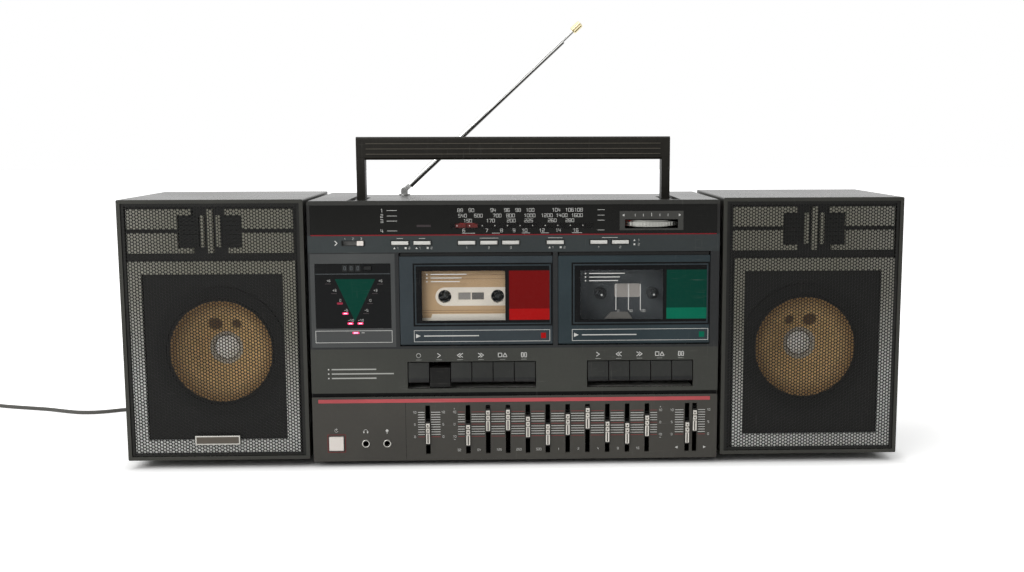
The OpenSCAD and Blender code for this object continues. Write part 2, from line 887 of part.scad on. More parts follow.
module spindle(x) {
    tip = plate_y - spindle_tip_y;
    translate([x, plate_y + 0.5, hub_z])
        rotate([90, 0, 0])
            rotate_extrude()
                polygon([[0, 0], [5, 0], [5, 3], [spindle_r, 4], [spindle_r, tip - 1.5], [1, tip + 0.5],
                         [0, tip + 0.5]]);
    for (k = [0:2])
        translate([x, 0, hub_z])
            rotate([0, 120 * k, 0])
                block([-0.5, 0.5], [spindle_tip_y + 3, plate_y], [0, spindle_r + 0.9]);
}

module tape_head(c) {
    head_top = tape_z - gap - 4.2;
    block([c - 6.5, c + 6.5], [tape_y - 3, plate_y + 0.5], [head_top - 9, head_top]);
    block([c - 18, c - 10], [tape_y - 1, plate_y + 0.5], [head_top - 9, head_top - 1]);
    y_rod(c + 18, [tape_y - 2, plate_y + 0.5], head_top - 5, 4);
    upright(plate_y - 3, plate_y + 0.5)
        polygon([[c - 18, hub_z - 21], [c + 5, hub_z - 21], [c + 1, hub_z - 15.5], [c - 13, hub_z - 15.5]]);
}

module key_shaft(d) {
    x0 = key_x[d] - 3;
    x1 = key_x[d] + key_count[d] * key_pitch + 3;
    x_rod([x0 - 2, x1 + 2], key_arm, key_pivot_z, key_shaft_r);
    for (x = [x0 - 2, x1])
        block([x, x + 2], [plate_y, key_arm + 4], [key_pivot_z - 4, post_z + 2]);
}

module deck_mechanism() {
    color([0.33, 0.34, 0.35])
    place() {
        block([door_x[0] - meter_gap + 0.5, half_w - wall - gap], [plate_y, plate_y + plate_t],
              [post_z - 4, strip_z - 4]);
        for (d = [0, 1]) {
            for (s = [-1, 1])
                spindle(tape_x[d] + s * hub_pitch / 2);
            tape_head(tape_x[d]);
            key_shaft(d);
        }
    }
}

// Keys, buttons and sliders

module tape_key(d, k, pressed) {
    x = key_x[d] + (k + 0.5) * key_pitch;
    color([0.2, 0.2, 0.2])
    place()
    translate([x, key_arm, key_pivot_z])
    rotate([pressed * key_angle, 0, 0])
    translate([0, -key_arm, -key_pivot_z])
    difference() {
        union() {
            along_x(-key_w / 2, key_w / 2)
                polygon([[0.6, key_z + key_h], [-1.4, key_z + 3.4], [-1.8, key_z + 0.8], [-1, key_z],
                         [9, key_z], [9, key_z + key_h]]);
            block([-3, 3], [8, key_arm], [key_pivot_z - 3, key_pivot_z + 3]);
            x_rod([-key_w / 2 + 1, key_w / 2 - 1], key_arm, key_pivot_z, 4);
        }
        x_rod([-key_w, key_w], key_arm, key_pivot_z, key_shaft_r + pin_gap);
    }
}

module push_body(x, z, w, h, stand) {
    along_x(x - w / 2, x + w / 2)
        polygon([[-stand + 0.5, z - h / 2], [front_t + 1, z - h / 2], [front_t + 1, z + h / 2],
                 [-stand + 0.5, z + h / 2], [-stand, z + h / 2 - 0.5], [-stand, z - h / 2 + 0.5]]);
    block([x - w / 2 - 1, x + w / 2 + 1], [front_t + gap, front_t + gap + 1.4], [z - h / 2 - 1, z + h / 2 + 1]);
    block([x - w / 4, x + w / 4], [front_t + gap, front_t + 11], [z - h / 2 + 0.3, z + h / 2 - 0.3]);
}

module push_button(k) {
    color([0.7, 0.71, 0.72])
    place()
        push_body(button_x[k], button_z, button_w, button_h, button_stand);
}

module counter_reset_button() {
    color([0.3, 0.3, 0.3])
    place()
        push_body(reset_x, reset_z, reset_w, reset_h, reset_stand);
}

module power_button() {
    color([0.86, 0.85, 0.82])
    place()
        push_body(power_x, power_z, power_side, power_side, power_stand);
}

module band_switch() {
    x = band_slot_x[1] - gap - band_knob_w / 2;
    color([0.86, 0.86, 0.84])
    place() {
        block([x - band_knob_w / 2, x + band_knob_w / 2], [-band_stand, front_t + 1],
              [button_z - band_slot_h / 2 + gap, button_z + band_slot_h / 2 - gap]);
        block([x - band_knob_w / 2 - 2, x + band_knob_w / 2 + 2], [front_t + gap, front_t + 3],
              [button_z - band_slot_h / 2 - 1, button_z + band_slot_h / 2 + 1]);
    }
}

module slider(k) {
    x = slider_x[k];
    z = slider_mid + slider_rest[k];
    color([0.72, 0.72, 0.71])
    place() {
        along_x(x - slider_w / 2, x + slider_w / 2) {
            polygon([[-1.6, z - slider_h / 2], [front_t + 5, z - slider_h / 2], [front_t + 5, z + slider_h / 2],
                     [-1.2, z + slider_h / 2], [-2, z + slider_h / 2 - 2], [-2, z - slider_h / 2 + 1]]);
            for (rise = [2.4, 6.4])
                translate([-proud + 2.1, z + rise])
                    circle(r = 2.1);
        }
        block([x - 2.5, x + 2.5], [front_t + gap, front_t + 6], [z - slider_h / 2 - 1.5, z + slider_h / 2 + 1.5]);
    }
}

// Loudspeakers, drawn on the right and mirrored for the left

module cabinet_rect(inset) {
    rect([speaker_x + inset, speaker_x + speaker_w - inset], [speaker_z + inset, speaker_z + speaker_h - inset]);
}

module cabinet_outline() {
    round_rect([speaker_x, speaker_x + speaker_w], [speaker_z, speaker_z + speaker_h], cabinet_corner_r);
}

module keyhole(z) {
    along_x(speaker_x - 1, speaker_x + cabinet_wall + 1) {
        translate([stud_y, z])
            circle(r = stud_r + gap);
        rect([stud_y - stud_r - gap, stud_y + stud_r + gap], [z - unhook, z]);
        translate([stud_y, z - unhook])
            circle(r = stud_head_r + gap);
    }
}

module speaker_cabinet() {
    color([0.1, 0.1, 0.1])
    place()
    difference() {
        union() {
            upright(0, body_d)
                difference() {
                    cabinet_outline();
                    cabinet_rect(rim_w);
                }
            upright(grille_y, baffle_y + baffle_t)
                difference() {
                    cabinet_outline();
                    cabinet_rect(rim_w + ledge_w);
                }
            upright(baffle_y, baffle_y + baffle_t)
                difference() {
                    cabinet_outline();
                    translate([cone_x, cone_z])
                        circle(r = basket_r + gap);
                }
            upright(grille_y, body_d)
                difference() {
                    cabinet_outline();
                    cabinet_rect(cabinet_wall);
                }
            upright(body_d - cabinet_wall, body_d)
                cabinet_outline();
        }
        for (z = stud_z)
            keyhole(z);
    }
}

module woofer() {
    color([0.5, 0.4, 0.26])
    place()
    translate([cone_x, baffle_y - flange_t, cone_z])
        rotate([-90, 0, 0])
            rotate_extrude()
                polygon([
                    [0, cone_d - dome_h], [dome_r * 0.55, cone_d - 0.8 * dome_h], [dome_r, cone_d - 0.1 * dome_h],
                    [dome_r + 0.8, cone_d], [cone_r - 2.5, surround_h], [cone_r - 1, 1.2], [cone_r + 1.2, 0.4],
                    [cone_r + 3.2, 1.4], [cone_r + 3.8, 0],
                    [flange_r, 0], [flange_r, flange_t], [basket_r, flange_t], [basket_r, basket_rim],
                    [magnet_r, basket_d], [magnet_r, basket_d + magnet_t], [0, basket_d + magnet_t]
                ]);
}

module grille_holes(w, h) {
    row_step = hole_pitch * sqrt(3) / 2;
    cols = floor((w - 6) / hole_pitch);
    rows = floor((h - 6) / row_step);
    for (r = [0:rows - 1])
        for (c = [0:cols - 1 - r % 2])
            translate([(c - (cols - 1 - r % 2) / 2) * hole_pitch, (r - (rows - 1) / 2) * row_step])
                circle(r = hole_r, $fn = 24);
}

module speaker_grille() {
    w = speaker_w - 2 * rim_w - 0.4;
    h = speaker_h - 2 * rim_w - 0.4;
    color([0.2, 0.2, 0.2])
    place()
    upright(grille_y - grille_t, grille_y)
        translate([speaker_x + speaker_w / 2, speaker_z + speaker_h / 2])
            difference() {
                square([w, h], center = true);
                grille_holes(w, h);
            }
}

// Mains lead: tubes swept along a route, with a ring of sides at each point

function unit(v) = v / norm(v);

function heading(path, i) =
    unit(path[min(i + 1, len(path) - 1)] - path[max(i - 1, 0)]);

function ring(p, t, r, sides) =
    let (s = unit(cross(t, [0, 0, 1])), n = cross(s, t))
    [for (k = [0:sides - 1]) p + r * (cos(360 * (k + 0.5) / sides) * s + sin(360 * (k + 0.5) / sides) * n)];

function between(p, i, f) =
    let (a = p[max(i - 1, 0)], b = p[i], c = p[i + 1], d = p[min(i + 2, len(p) - 1)])
    0.5 * (2 * b + (c - a) * f + (2 * a - 5 * b + 4 * c - d) * f * f + (3 * b - a - 3 * c + d) * f * f * f);

function smooth(p, n) =
    concat([for (i = [0:len(p) - 2]) each [for (k = [0:n - 1]) between(p, i, k / n)]], [p[len(p) - 1]]);

module tube(path, r, sides) {
    n = len(path);
    points = [for (i = [0:n - 1]) each ring(path[i], heading(path, i), r, sides)];
    walls = [for (i = [0:n - 2]) for (k = [0:sides - 1]) each
        let (a = i * sides + k, b = i * sides + (k + 1) % sides)
        [[a, b, b + sides], [a, b + sides, a + sides]]];
    caps = [for (k = [1:sides - 2]) each
        [[0, k + 1, k], [(n - 1) * sides, (n - 1) * sides + k, (n - 1) * sides + k + 1]]];
    polyhedron(points, concat(walls, caps));
}

// The coil: each layer spirals in or out, and climbs in a half turn to the next

function coil_radius(u) =
    let (run = loops_per_layer + 0.5, layer = min(floor(u / run), coil_layers - 1),
         f = min(u - layer * run, loops_per_layer))
    layer % 2 == 0 ? coil_r - coil_step * f : coil_r - coil_step * (loops_per_layer - f);

function coil_height(u) =
    let (run = loops_per_layer + 0.5, layer = min(floor(u / run), coil_layers - 1),
         f = max(u - layer * run - loops_per_layer, 0))
    layer_step * (layer + (layer < coil_layers - 1 ? 2 * f : 0));

function coil_point(u) =
    coil_at + [coil_radius(u) * cos(360 * u), coil_radius(u) * sin(360 * u), coil_height(u)];

coil_end = coil_point(coil_turns);
COIL = concat(
    [coil_start],
    [for (k = [0:coil_turns * rings_per_loop]) coil_point(k / rings_per_loop)],
    [for (t = TAIL) coil_end + t]);
plug_at = COIL[len(COIL) - 1];
least_gap = min([for (i = [0:len(COIL) - 1]) for (j = [i + 6:1:len(COIL) - 1])
    norm(COIL[i] - COIL[j])]) - cord_d;

function path_len(p) =
    [for (i = [1:len(p) - 1]) norm(p[i] - p[i - 1])] * [for (i = [1:len(p) - 1]) 1];

echo(least_gap = least_gap, lead_length = path_len(ROUTE) + path_len(COIL));

module strain_relief() {
    color([0.12, 0.12, 0.12])
    place()
    translate([relief_x, body_d, relief_z])
        rotate([-90, 0, 0])
            rotate_extrude()
                polygon([[0, -back_t], [cord_r + 2.2, -back_t], [cord_r + 2.2, 0], [cord_r + 4.2, 0],
                         [cord_r + 4.2, 2.5], [cord_r + 2.6, 4], [cord_r + 0.8, relief_len], [0, relief_len]]);
}

module power_cord() {
    color([0.35, 0.35, 0.36])
    place()
        tube(smooth(ROUTE, 2), cord_r, 8);
}

module cord_coil() {
    color([0.35, 0.35, 0.36])
    place()
        tube(COIL, cord_r, 6);
}

module mains_plug() {
    color([0.14, 0.14, 0.14])
    place()
    translate(plug_at) {
        rotate([90, 0, 0])
            rotate_extrude()
                polygon([[0, 0], [cord_r + 1, 0], [cord_r + 2.4, plug_neck + 2], [0, plug_neck + 2]]);
        upright(-plug_l, -plug_neck)
            round_rect([-plug_w / 2, plug_w / 2], [-plug_t / 2, plug_t / 2], 4);
        for (s = [-1, 1])
            y_rod(s * plug_pin_x, [-plug_l - plug_pin_len, -plug_l + 1], 0, plug_pin_r);
    }
}

front_case();
rear_case();
dial_window();
meter_window();
deck_mechanism();
battery_cover();
handle();
aerial_swivel();
aerial_tube();
aerial_rod();
tuning_wheel();
dial_pointer();
cassette_door(0);  // left_cassette_door
cassette_door(1);  // right_cassette_door
cassette();
mirror([1, 0, 0]) speaker_cabinet();  // left_speaker_cabinet
mirror([1, 0, 0]) woofer();  // left_woofer
mirror([1, 0, 0]) speaker_grille();  // left_speaker_grille
speaker_cabinet();  // right_speaker_cabinet
woofer();  // right_woofer
speaker_grille();  // right_speaker_grille
band_switch();
push_button(0);  // band_button
push_button(1);  // mode_button
push_button(2);  // radio_button
push_button(3);  // tape_button
push_button(4);  // line_button
push_button(5);  // dubbing_button
push_button(6);  // play_select_button
push_button(7);  // record_select_button
counter_reset_button();
power_button();
tape_key(0, 0, 0);  // left_record_key
tape_key(0, 1, 1);  // left_play_key
tape_key(0, 2, 0);  // left_rewind_key
tape_key(0, 3, 0);  // left_forward_key
tape_key(0, 4, 0);  // left_stop_key
tape_key(0, 5, 0);  // left_pause_key
tape_key(1, 0, 0);  // right_play_key
tape_key(1, 1, 0);  // right_rewind_key
tape_key(1, 2, 0);  // right_forward_key
tape_key(1, 3, 0);  // right_stop_key
tape_key(1, 4, 0);  // right_pause_key
slider(0);  // mic_slider
slider(1);  // eq_slider_1
slider(2);  // eq_slider_2
slider(3);  // eq_slider_3
slider(4);  // eq_slider_4
slider(5);  // eq_slider_5
slider(6);  // eq_slider_6
slider(7);  // eq_slider_7
slider(8);  // eq_slider_8
slider(9);  // eq_slider_9
slider(10);  // eq_slider_10
slider(11);  // left_volume_slider
slider(12);  // right_volume_slider
strain_relief();
power_cord();
cord_coil();
mains_plug();
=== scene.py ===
"""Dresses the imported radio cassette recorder: lead, finishes, prints, grilles, studio and camera.

Lengths are millimetres in the part's own frame unless a name says otherwise: x to the right, y back from the front
plane, z up from the table. The function at() turns them into metres of the row frame.
"""

import logging
import math
from dataclasses import dataclass
from enum import Enum
from typing import Callable, Iterable

import bmesh
import bpy
from mathutils import Matrix, Vector


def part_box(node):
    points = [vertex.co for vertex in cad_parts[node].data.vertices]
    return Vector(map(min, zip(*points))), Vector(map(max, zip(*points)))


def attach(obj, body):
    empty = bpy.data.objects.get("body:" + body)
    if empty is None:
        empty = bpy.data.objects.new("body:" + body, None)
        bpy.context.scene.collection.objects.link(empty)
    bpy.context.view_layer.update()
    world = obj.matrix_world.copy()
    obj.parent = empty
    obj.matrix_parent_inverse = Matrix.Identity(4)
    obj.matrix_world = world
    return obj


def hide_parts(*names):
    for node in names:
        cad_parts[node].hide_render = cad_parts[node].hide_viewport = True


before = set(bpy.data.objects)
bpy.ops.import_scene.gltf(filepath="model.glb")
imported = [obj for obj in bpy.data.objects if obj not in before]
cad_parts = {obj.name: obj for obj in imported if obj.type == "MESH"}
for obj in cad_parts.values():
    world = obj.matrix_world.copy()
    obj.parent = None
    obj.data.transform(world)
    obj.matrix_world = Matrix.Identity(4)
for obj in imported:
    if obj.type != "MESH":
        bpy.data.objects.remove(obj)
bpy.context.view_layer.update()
LOG = logging.getLogger("recorder")

MM = 0.001
FRONT = 73.5  # from the row frame's middle to the front plane
INK = 0.07  # how far print stands out
SINK = 0.02  # how far a plate reaches into the face below it
OVERRUN = 0.6  # how far a drawn line runs past its ends, in half widths

Point = tuple[float, float, float]
Flat = tuple[float, float]
Outline = list[Flat]
Span = tuple[float, float, float, float]
Colour = tuple[float, float, float]
Socket = bpy.types.NodeSocket


class Axis(Enum):
    """A direction of the part's frame."""

    X = 0
    Z = 2


class Side(Enum):
    """Which end of the recorder a piece belongs to."""

    LEFT = "left"
    RIGHT = "right"


class Facing(Enum):
    """Which way a flat piece looks."""

    FRONT = -1
    BACK = 1


def at(x: float, y: float, z: float) -> Vector:
    """Gives the row frame's point, in metres, for a place on the part."""
    return Vector((x, y - FRONT, z)) * MM


def tone(colour: Colour) -> tuple[float, ...]:
    """Gives the linear colour that renders as a colour counted from 0 to 255."""
    return *(c / 255 / 12.92 if c < 10.3 else ((c / 255 + 0.055) / 1.055) ** 2.4 for c in colour), 1.0


def span(node: str) -> list[Point]:
    """Gives a node's lowest and highest corners on the part."""
    return [(x / MM, y / MM + FRONT, z / MM) for x, y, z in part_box(node)]


def link(made: bpy.types.Object) -> bpy.types.Object:
    """Puts an object into the scene and gives it back."""
    bpy.context.scene.collection.objects.link(made)
    return made


def rect(x0: float, x1: float, z0: float, z1: float) -> Outline:
    """Gives the corners of an upright rectangle."""
    return [(x0, z0), (x1, z0), (x1, z1), (x0, z1)]


def bar(x: float, z: float, half: float, high: float) -> Outline:
    """Gives the corners of a rectangle by its middle, half its width and half its height."""
    return rect(x - half, x + half, z - high, z + high)


def disc(x: float, z: float, radius: float, steps: int) -> Outline:
    """Gives the corners of a round outline."""
    turn = 2 * math.pi / steps
    return [(x + radius * math.cos(turn * i), z + radius * math.sin(turn * i)) for i in range(steps)]


def rounded(x0: float, x1: float, z0: float, z1: float, radius: float) -> Outline:
    """Gives the outline of a rectangle with round corners, quarter turns in steps of 30 degrees."""
    inner = rect(x0 + radius, x1 - radius, z0 + radius, z1 - radius)
    turns = [math.radians(30 * step) for step in range(-3, 13)]
    corners = zip(inner[1:] + inner[:1], (0, 3, 6, 9))
    return [(x + radius * math.cos(a), z + radius * math.sin(a)) for (x, z), k in corners for a in turns[k:k + 4]]


def border(outer: Outline, inner: Outline) -> list[Outline]:
    """Gives the four outlines between two rectangles."""
    return [[outer[i], outer[(i + 1) % 4], inner[(i + 1) % 4], inner[i]] for i in range(4)]


def edging(x0: float, x1: float, z0: float, z1: float, width: float) -> list[Outline]:
    """Gives the outlines of an even border inside a rectangle."""
    return border(rect(x0, x1, z0, z1), rect(x0 + width, x1 - width, z0 + width, z1 - width))


def stroke(line: Outline, width: float, closed: bool = False) -> list[Outline]:
    """Gives the outlines of a drawn line of even width.

    Args:
        line: The places that it passes.
        width: How wide it is.
        closed: Whether it goes back to its start.

    Returns:
        One outline for each straight part.
    """
    ends = line + line[:1] if closed else line
    made = []
    for (x0, z0), (x1, z1) in zip(ends, ends[1:]):
        length = math.hypot(x1 - x0, z1 - z0) or 1.0
        u, w = (x1 - x0) / length * width / 2, (z1 - z0) / length * width / 2
        a, b, c, d = x0 - u * OVERRUN, z0 - w * OVERRUN, x1 + u * OVERRUN, z1 + w * OVERRUN
        made.append([(a + w, b - u), (c + w, d - u), (c - w, d + u), (a - w, b + u)])
    return made


BOX = ((0, 0), (1, 0), (1, 1), (0, 1), (0, 0))
BAR = ((0, 0.5), (1, 0.5))
STROKES: dict[str, tuple[tuple[Flat, ...], ...]] = {
    "0": (BOX,),
    "1": (((0.6, 0), (0.6, 1), (0.2, 0.8)),),
    "2": (((0, 1), (1, 1), (1, 0.5), (0, 0.5), (0, 0), (1, 0)),),
    "3": (((0, 1), (1, 1), (1, 0), (0, 0)), BAR),
    "4": (((0, 1), (0, 0.4), (1, 0.4)), ((0.75, 0.9), (0.75, 0))),
    "5": (((1, 1), (0, 1), (0, 0.5), (1, 0.5), (1, 0), (0, 0)),),
    "6": (((1, 1), (0, 1), (0, 0), (1, 0), (1, 0.5), (0, 0.5)),),
    "7": (((0, 1), (1, 1), (0.4, 0)),),
    "8": (BOX, BAR),
    "9": (((1, 0.5), (0, 0.5), (0, 1), (1, 1), (1, 0), (0, 0)),),
    "+": (BAR, ((0.5, 0.15), (0.5, 0.85))),
    "-": (BAR,),
}


def number(text: str, x: float, z: float, height: float, wide: float) -> list[Outline]:
    """Gives the outlines of plain numbers, centred on a place.

    Args:
        text: The numbers or signs.
        x: Their middle.
        z: Their middle height.
        height: How tall they are.
        wide: How far they are stretched.

    Returns:
        One outline for each straight part.
    """
    width, step = 0.5 * height * wide, 0.7 * height * wide
    left = x - (step * (len(text) - 1) + width) / 2
    made = []
    for k, sign in enumerate(text):
        for line in STROKES[sign]:
            made += stroke([(left + step * k + u * width, z + (w - 0.5) * height) for u, w in line], 0.11 * height)
    return made


class Shape:
    """Gathers points and faces on the part, and makes one piece of them."""

    def __init__(
        self, outlines: Iterable[Outline] = (), y: float = 0, thick: float = INK, facing: Facing = Facing.FRONT
    ) -> None:
        """Starts with the given plates, or with nothing in it. The arguments are those of plates()."""
        self.points: list[Point] = []
        self.faces: list[tuple[int, ...]] = []
        self.plates(outlines, y, thick, facing)

    def add(self, points: list[Point], faces: list[tuple[int, ...]]) -> None:
        """Adds points, and faces that count from the first of them."""
        base = len(self.points)
        self.points.extend(points)
        self.faces.extend(tuple(base + i for i in f) for f in faces)

    def plates(
        self, outlines: Iterable[Outline], y: float = 0, thick: float = INK, facing: Facing = Facing.FRONT
    ) -> None:
        """Adds flat closed plates that lie on a face.

        Args:
            outlines: The corners of each in x and z.
            y: The face that they lie on.
            thick: How far they stand out.
            facing: Which way that face looks.
        """
        out, back = y + facing.value * thick, y - facing.value * SINK
        for outline in outlines:
            n = len(outline)
            faces = [tuple(range(n)), tuple(range(2 * n - 1, n - 1, -1))]
            faces += [(i, n + i, n + (i + 1) % n, (i + 1) % n) for i in range(n)]
            self.add([(x, depth, z) for depth in (out, back) for x, z in outline], faces)

    def lathe(self, profile: list[Flat], centre: Point, steps: int, closed: bool = False) -> None:
        """Adds a form that is turned about an axis from front to back.

        Args:
            profile: Radius and place along the axis, from one end to the other.
            centre: Where the axis passes.
            steps: How many sides it has.
            closed: Whether the profile is a loop, as in a ring.
        """
        n = len(profile)
        x, y, z = centre
        points, faces = [], []
        for i in range(steps):
            angle = 2 * math.pi * i / steps
            points += [(x + r * math.cos(angle), y + along, z + r * math.sin(angle)) for r, along in profile]
            a, b = i * n, (i + 1) % steps * n
            for k in range(n if closed else n - 1):
                faces.append((a + k, a + (k + 1) % n, b + (k + 1) % n, b + k))
        self.add(points, faces)

    def piece(
        self, name: str, finish: "Finish", slot: str, body: str = "main_unit", edge: float = 0, smooth: bool = False
    ) -> bpy.types.Object:
        """Makes the piece and lets it ride on a body.

        Args:
            name: The piece's name.
            finish: Its finish.
            slot: The record's slot that the finish stands for; not used.
            body: The body that carries it.
            edge: The radius that softens its edges.
            smooth: Whether it is shaded as a curved form.

        Returns:
            The piece.
        """
        mesh = bpy.data.meshes.new(name)
        mesh.from_pydata([at(*p) for p in self.points], [], self.faces)
        work = bmesh.new()
        work.from_mesh(mesh)
        bmesh.ops.remove_doubles(work, verts=work.verts, dist=1e-7)
        bmesh.ops.recalc_face_normals(work, faces=work.faces)
        work.to_mesh(mesh)
        work.free()
        if smooth:
            mesh.shade_smooth()
        made = link(bpy.data.objects.new(name, mesh))
        if edge:
            soft = made.modifiers.new("soft_edges", "BEVEL")
            soft.width, soft.segments, soft.limit_method = edge * MM, 2, "ANGLE"
        made.data.materials.append(finish.build())
        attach(made, body)
        LOG.info("piece %s on %s", name, body)
        return made


class Graph:
    """Adds and joins the nodes of one tree."""

    def __init__(self, tree: bpy.types.NodeTree) -> None:
        """Works on the given tree."""
        self.tree = tree

    def add(self, kind: str, inputs: dict[str | int, object] | None = None, **settings: object) -> bpy.types.Node:
        """Adds a node, sets its options and fills its inputs."""
        node = self.tree.nodes.new("ShaderNode" + kind)
        for name, value in settings.items():
            setattr(node, name, value)
        for key, value in (inputs or {}).items():
            self.put(node.inputs[key], value)
        return node

    def put(self, socket: Socket, value: object) -> None:
        """Joins another socket to this one, or sets a constant on it."""
        if isinstance(value, bpy.types.NodeSocket):
            self.tree.links.new(value, socket)
        else:
            socket.default_value = value

    def math(self, operation: str, a: object, b: object = 0.0) -> Socket:
        """Adds one step of arithmetic."""
        return self.add("Math", {0: a, 1: b}, operation=operation).outputs[0]

    def ramp(self, value: Socket, low: float, high: float, out_low: float = 0, out_high: float = 1) -> Socket:
        """Adds a clamped change of range."""
        return self.add("MapRange", dict(enumerate((value, low, high, out_low, out_high)))).outputs[0]

    def mix(self, share: object, a: object, b: object) -> Socket:
        """Adds a blend of two colours."""
        return self.add("Mix", {0: share, 6: a, 7: b}, data_type="RGBA").outputs[2]

    def split(self, vector: Socket) -> list[Socket]:
        """Adds the x, y and z of a vector."""
        return list(self.add("SeparateXYZ", {0: vector}).outputs)

    def normal(self) -> list[Socket]:
        """Adds the way that the surface looks, as x, y and z."""
        return self.split(self.add("NewGeometry").outputs["Normal"])

    def place(self) -> tuple[Socket, Socket, Socket]:
        """Adds the place on the part in millimetres, as x, y and z."""
        x, y, z = (self.math("MULTIPLY", part, 1000) for part in self.split(self.add("TexCoord").outputs["Object"]))
        return x, self.math("ADD", y, FRONT), z

    def within(self, value: Socket, low: float, high: float, soft: float = 0.05) -> Socket:
        """Adds a mask that is 1 between two places."""
        away = self.math("ABSOLUTE", self.math("SUBTRACT", value, (low + high) / 2))
        return self.ramp(away, (high - low) / 2 - soft, (high - low) / 2 + soft, 1, 0)

    def all_of(self, *masks: Socket) -> Socket:
        """Adds the overlap of masks."""
        both = masks[0]
        for mask in masks[1:]:
            both = self.math("MULTIPLY", both, mask)
        return both

    def from_axis(self, u: Socket, v: Socket, centre: Flat) -> Socket:
        """Adds the distance from an axis in a plane."""
        squares = [self.all_of(d, d) for d in (self.math("SUBTRACT", s, c) for s, c in zip((u, v), centre))]
        return self.math("SQRT", self.math("ADD", *squares))

    def noise(self, scale: float, stretch: Point = (1, 1, 1), detail: float = 3) -> Socket:
        """Adds noise that lies on the part.

        Args:
            scale: Its grains in a metre.
            stretch: How much finer it is along each axis.
            detail: How many finer layers it has.

        Returns:
            The noise, about 0.5.
        """
        coords = self.add("TexCoord").outputs["Object"]
        vector = self.add("Mapping", {"Vector": coords, "Scale": stretch}).outputs[0]
        return self.add("TexNoise", {"Vector": vector, "Scale": scale, "Detail": detail}).outputs["Fac"]


class Effects:
    """The surface effects that finishes share, each a node group that is built once."""

    @staticmethod
    def use(graph: Graph, fill: Callable[..., tuple[Socket, ...]], outputs: str, **inputs: float) -> list[Socket]:
        """Adds a group to a graph, and builds the group the first time.

        Args:
            graph: The graph that takes it.
            fill: What joins the nodes inside and gives the results.
            outputs: The names of the results.
            inputs: The group's inputs and their values here.

        Returns:
            The results.
        """
        name = fill.__name__
        if name not in bpy.data.node_groups:
            tree = bpy.data.node_groups.new(name, "ShaderNodeTree")
            for way, keys in (("INPUT", inputs), ("OUTPUT", outputs.split())):
                for key in keys:
                    tree.interface.new_socket(key, in_out=way, socket_type="NodeSocketFloat")
            given = tree.nodes.new("NodeGroupInput").outputs
            results = fill(Graph(tree), *(given[key] for key in inputs))
            for socket, value in zip(tree.nodes.new("NodeGroupOutput").inputs, results):
                tree.links.new(value, socket)
        return list(graph.add("Group", inputs, node_tree=bpy.data.node_groups[name]).outputs)

    @staticmethod
    def moulded_grain(graph: Graph, scale: Socket, slow: Socket) -> tuple[Socket, ...]:
        """Gives the moulded grain: its height, and a slow change of tone."""
        coords = graph.add("TexCoord").outputs["Object"]
        fine = graph.add("TexNoise", {"Vector": coords, "Scale": scale})
        cells = graph.add("TexVoronoi", {"Vector": coords, "Scale": graph.math("MULTIPLY", scale, 1.3)})
        cloud = graph.add("TexNoise", {"Vector": coords, "Scale": slow, "Detail": 6})
        height = graph.math("ADD", fine.outputs["Fac"], cells.outputs["Distance"])
        return height, graph.ramp(cloud.outputs["Fac"], 0.3, 0.7)

    @staticmethod
    def scuffs(graph: Graph, amount: Socket) -> tuple[Socket, ...]:
        """Gives a mask of fine scratches and rubbed patches."""
        lines = graph.ramp(graph.noise(60, (1, 1, 22), 4), 0.62, 0.72)
        cross = graph.ramp(graph.noise(45, (18, 1, 1), 4), 0.63, 0.74)
        patch = graph.ramp(graph.noise(24), 0.52, 0.66)
        return (graph.all_of(graph.math("MAXIMUM", lines, cross), patch, amount),)

    @staticmethod
    def dust(graph: Graph, amount: Socket) -> tuple[Socket, ...]:
        """Gives a mask of dust that settles on faces that look up."""
        upward = graph.ramp(graph.normal()[2], 0.35, 0.95, 0.12, 1)
        return (graph.all_of(upward, graph.ramp(graph.noise(380, detail=2), 0.42, 0.75), amount),)


MADE: dict[str, bpy.types.Material] = {}
RUBBED: Colour = (150, 148, 142)
DUSTY: Colour = (172, 166, 154)


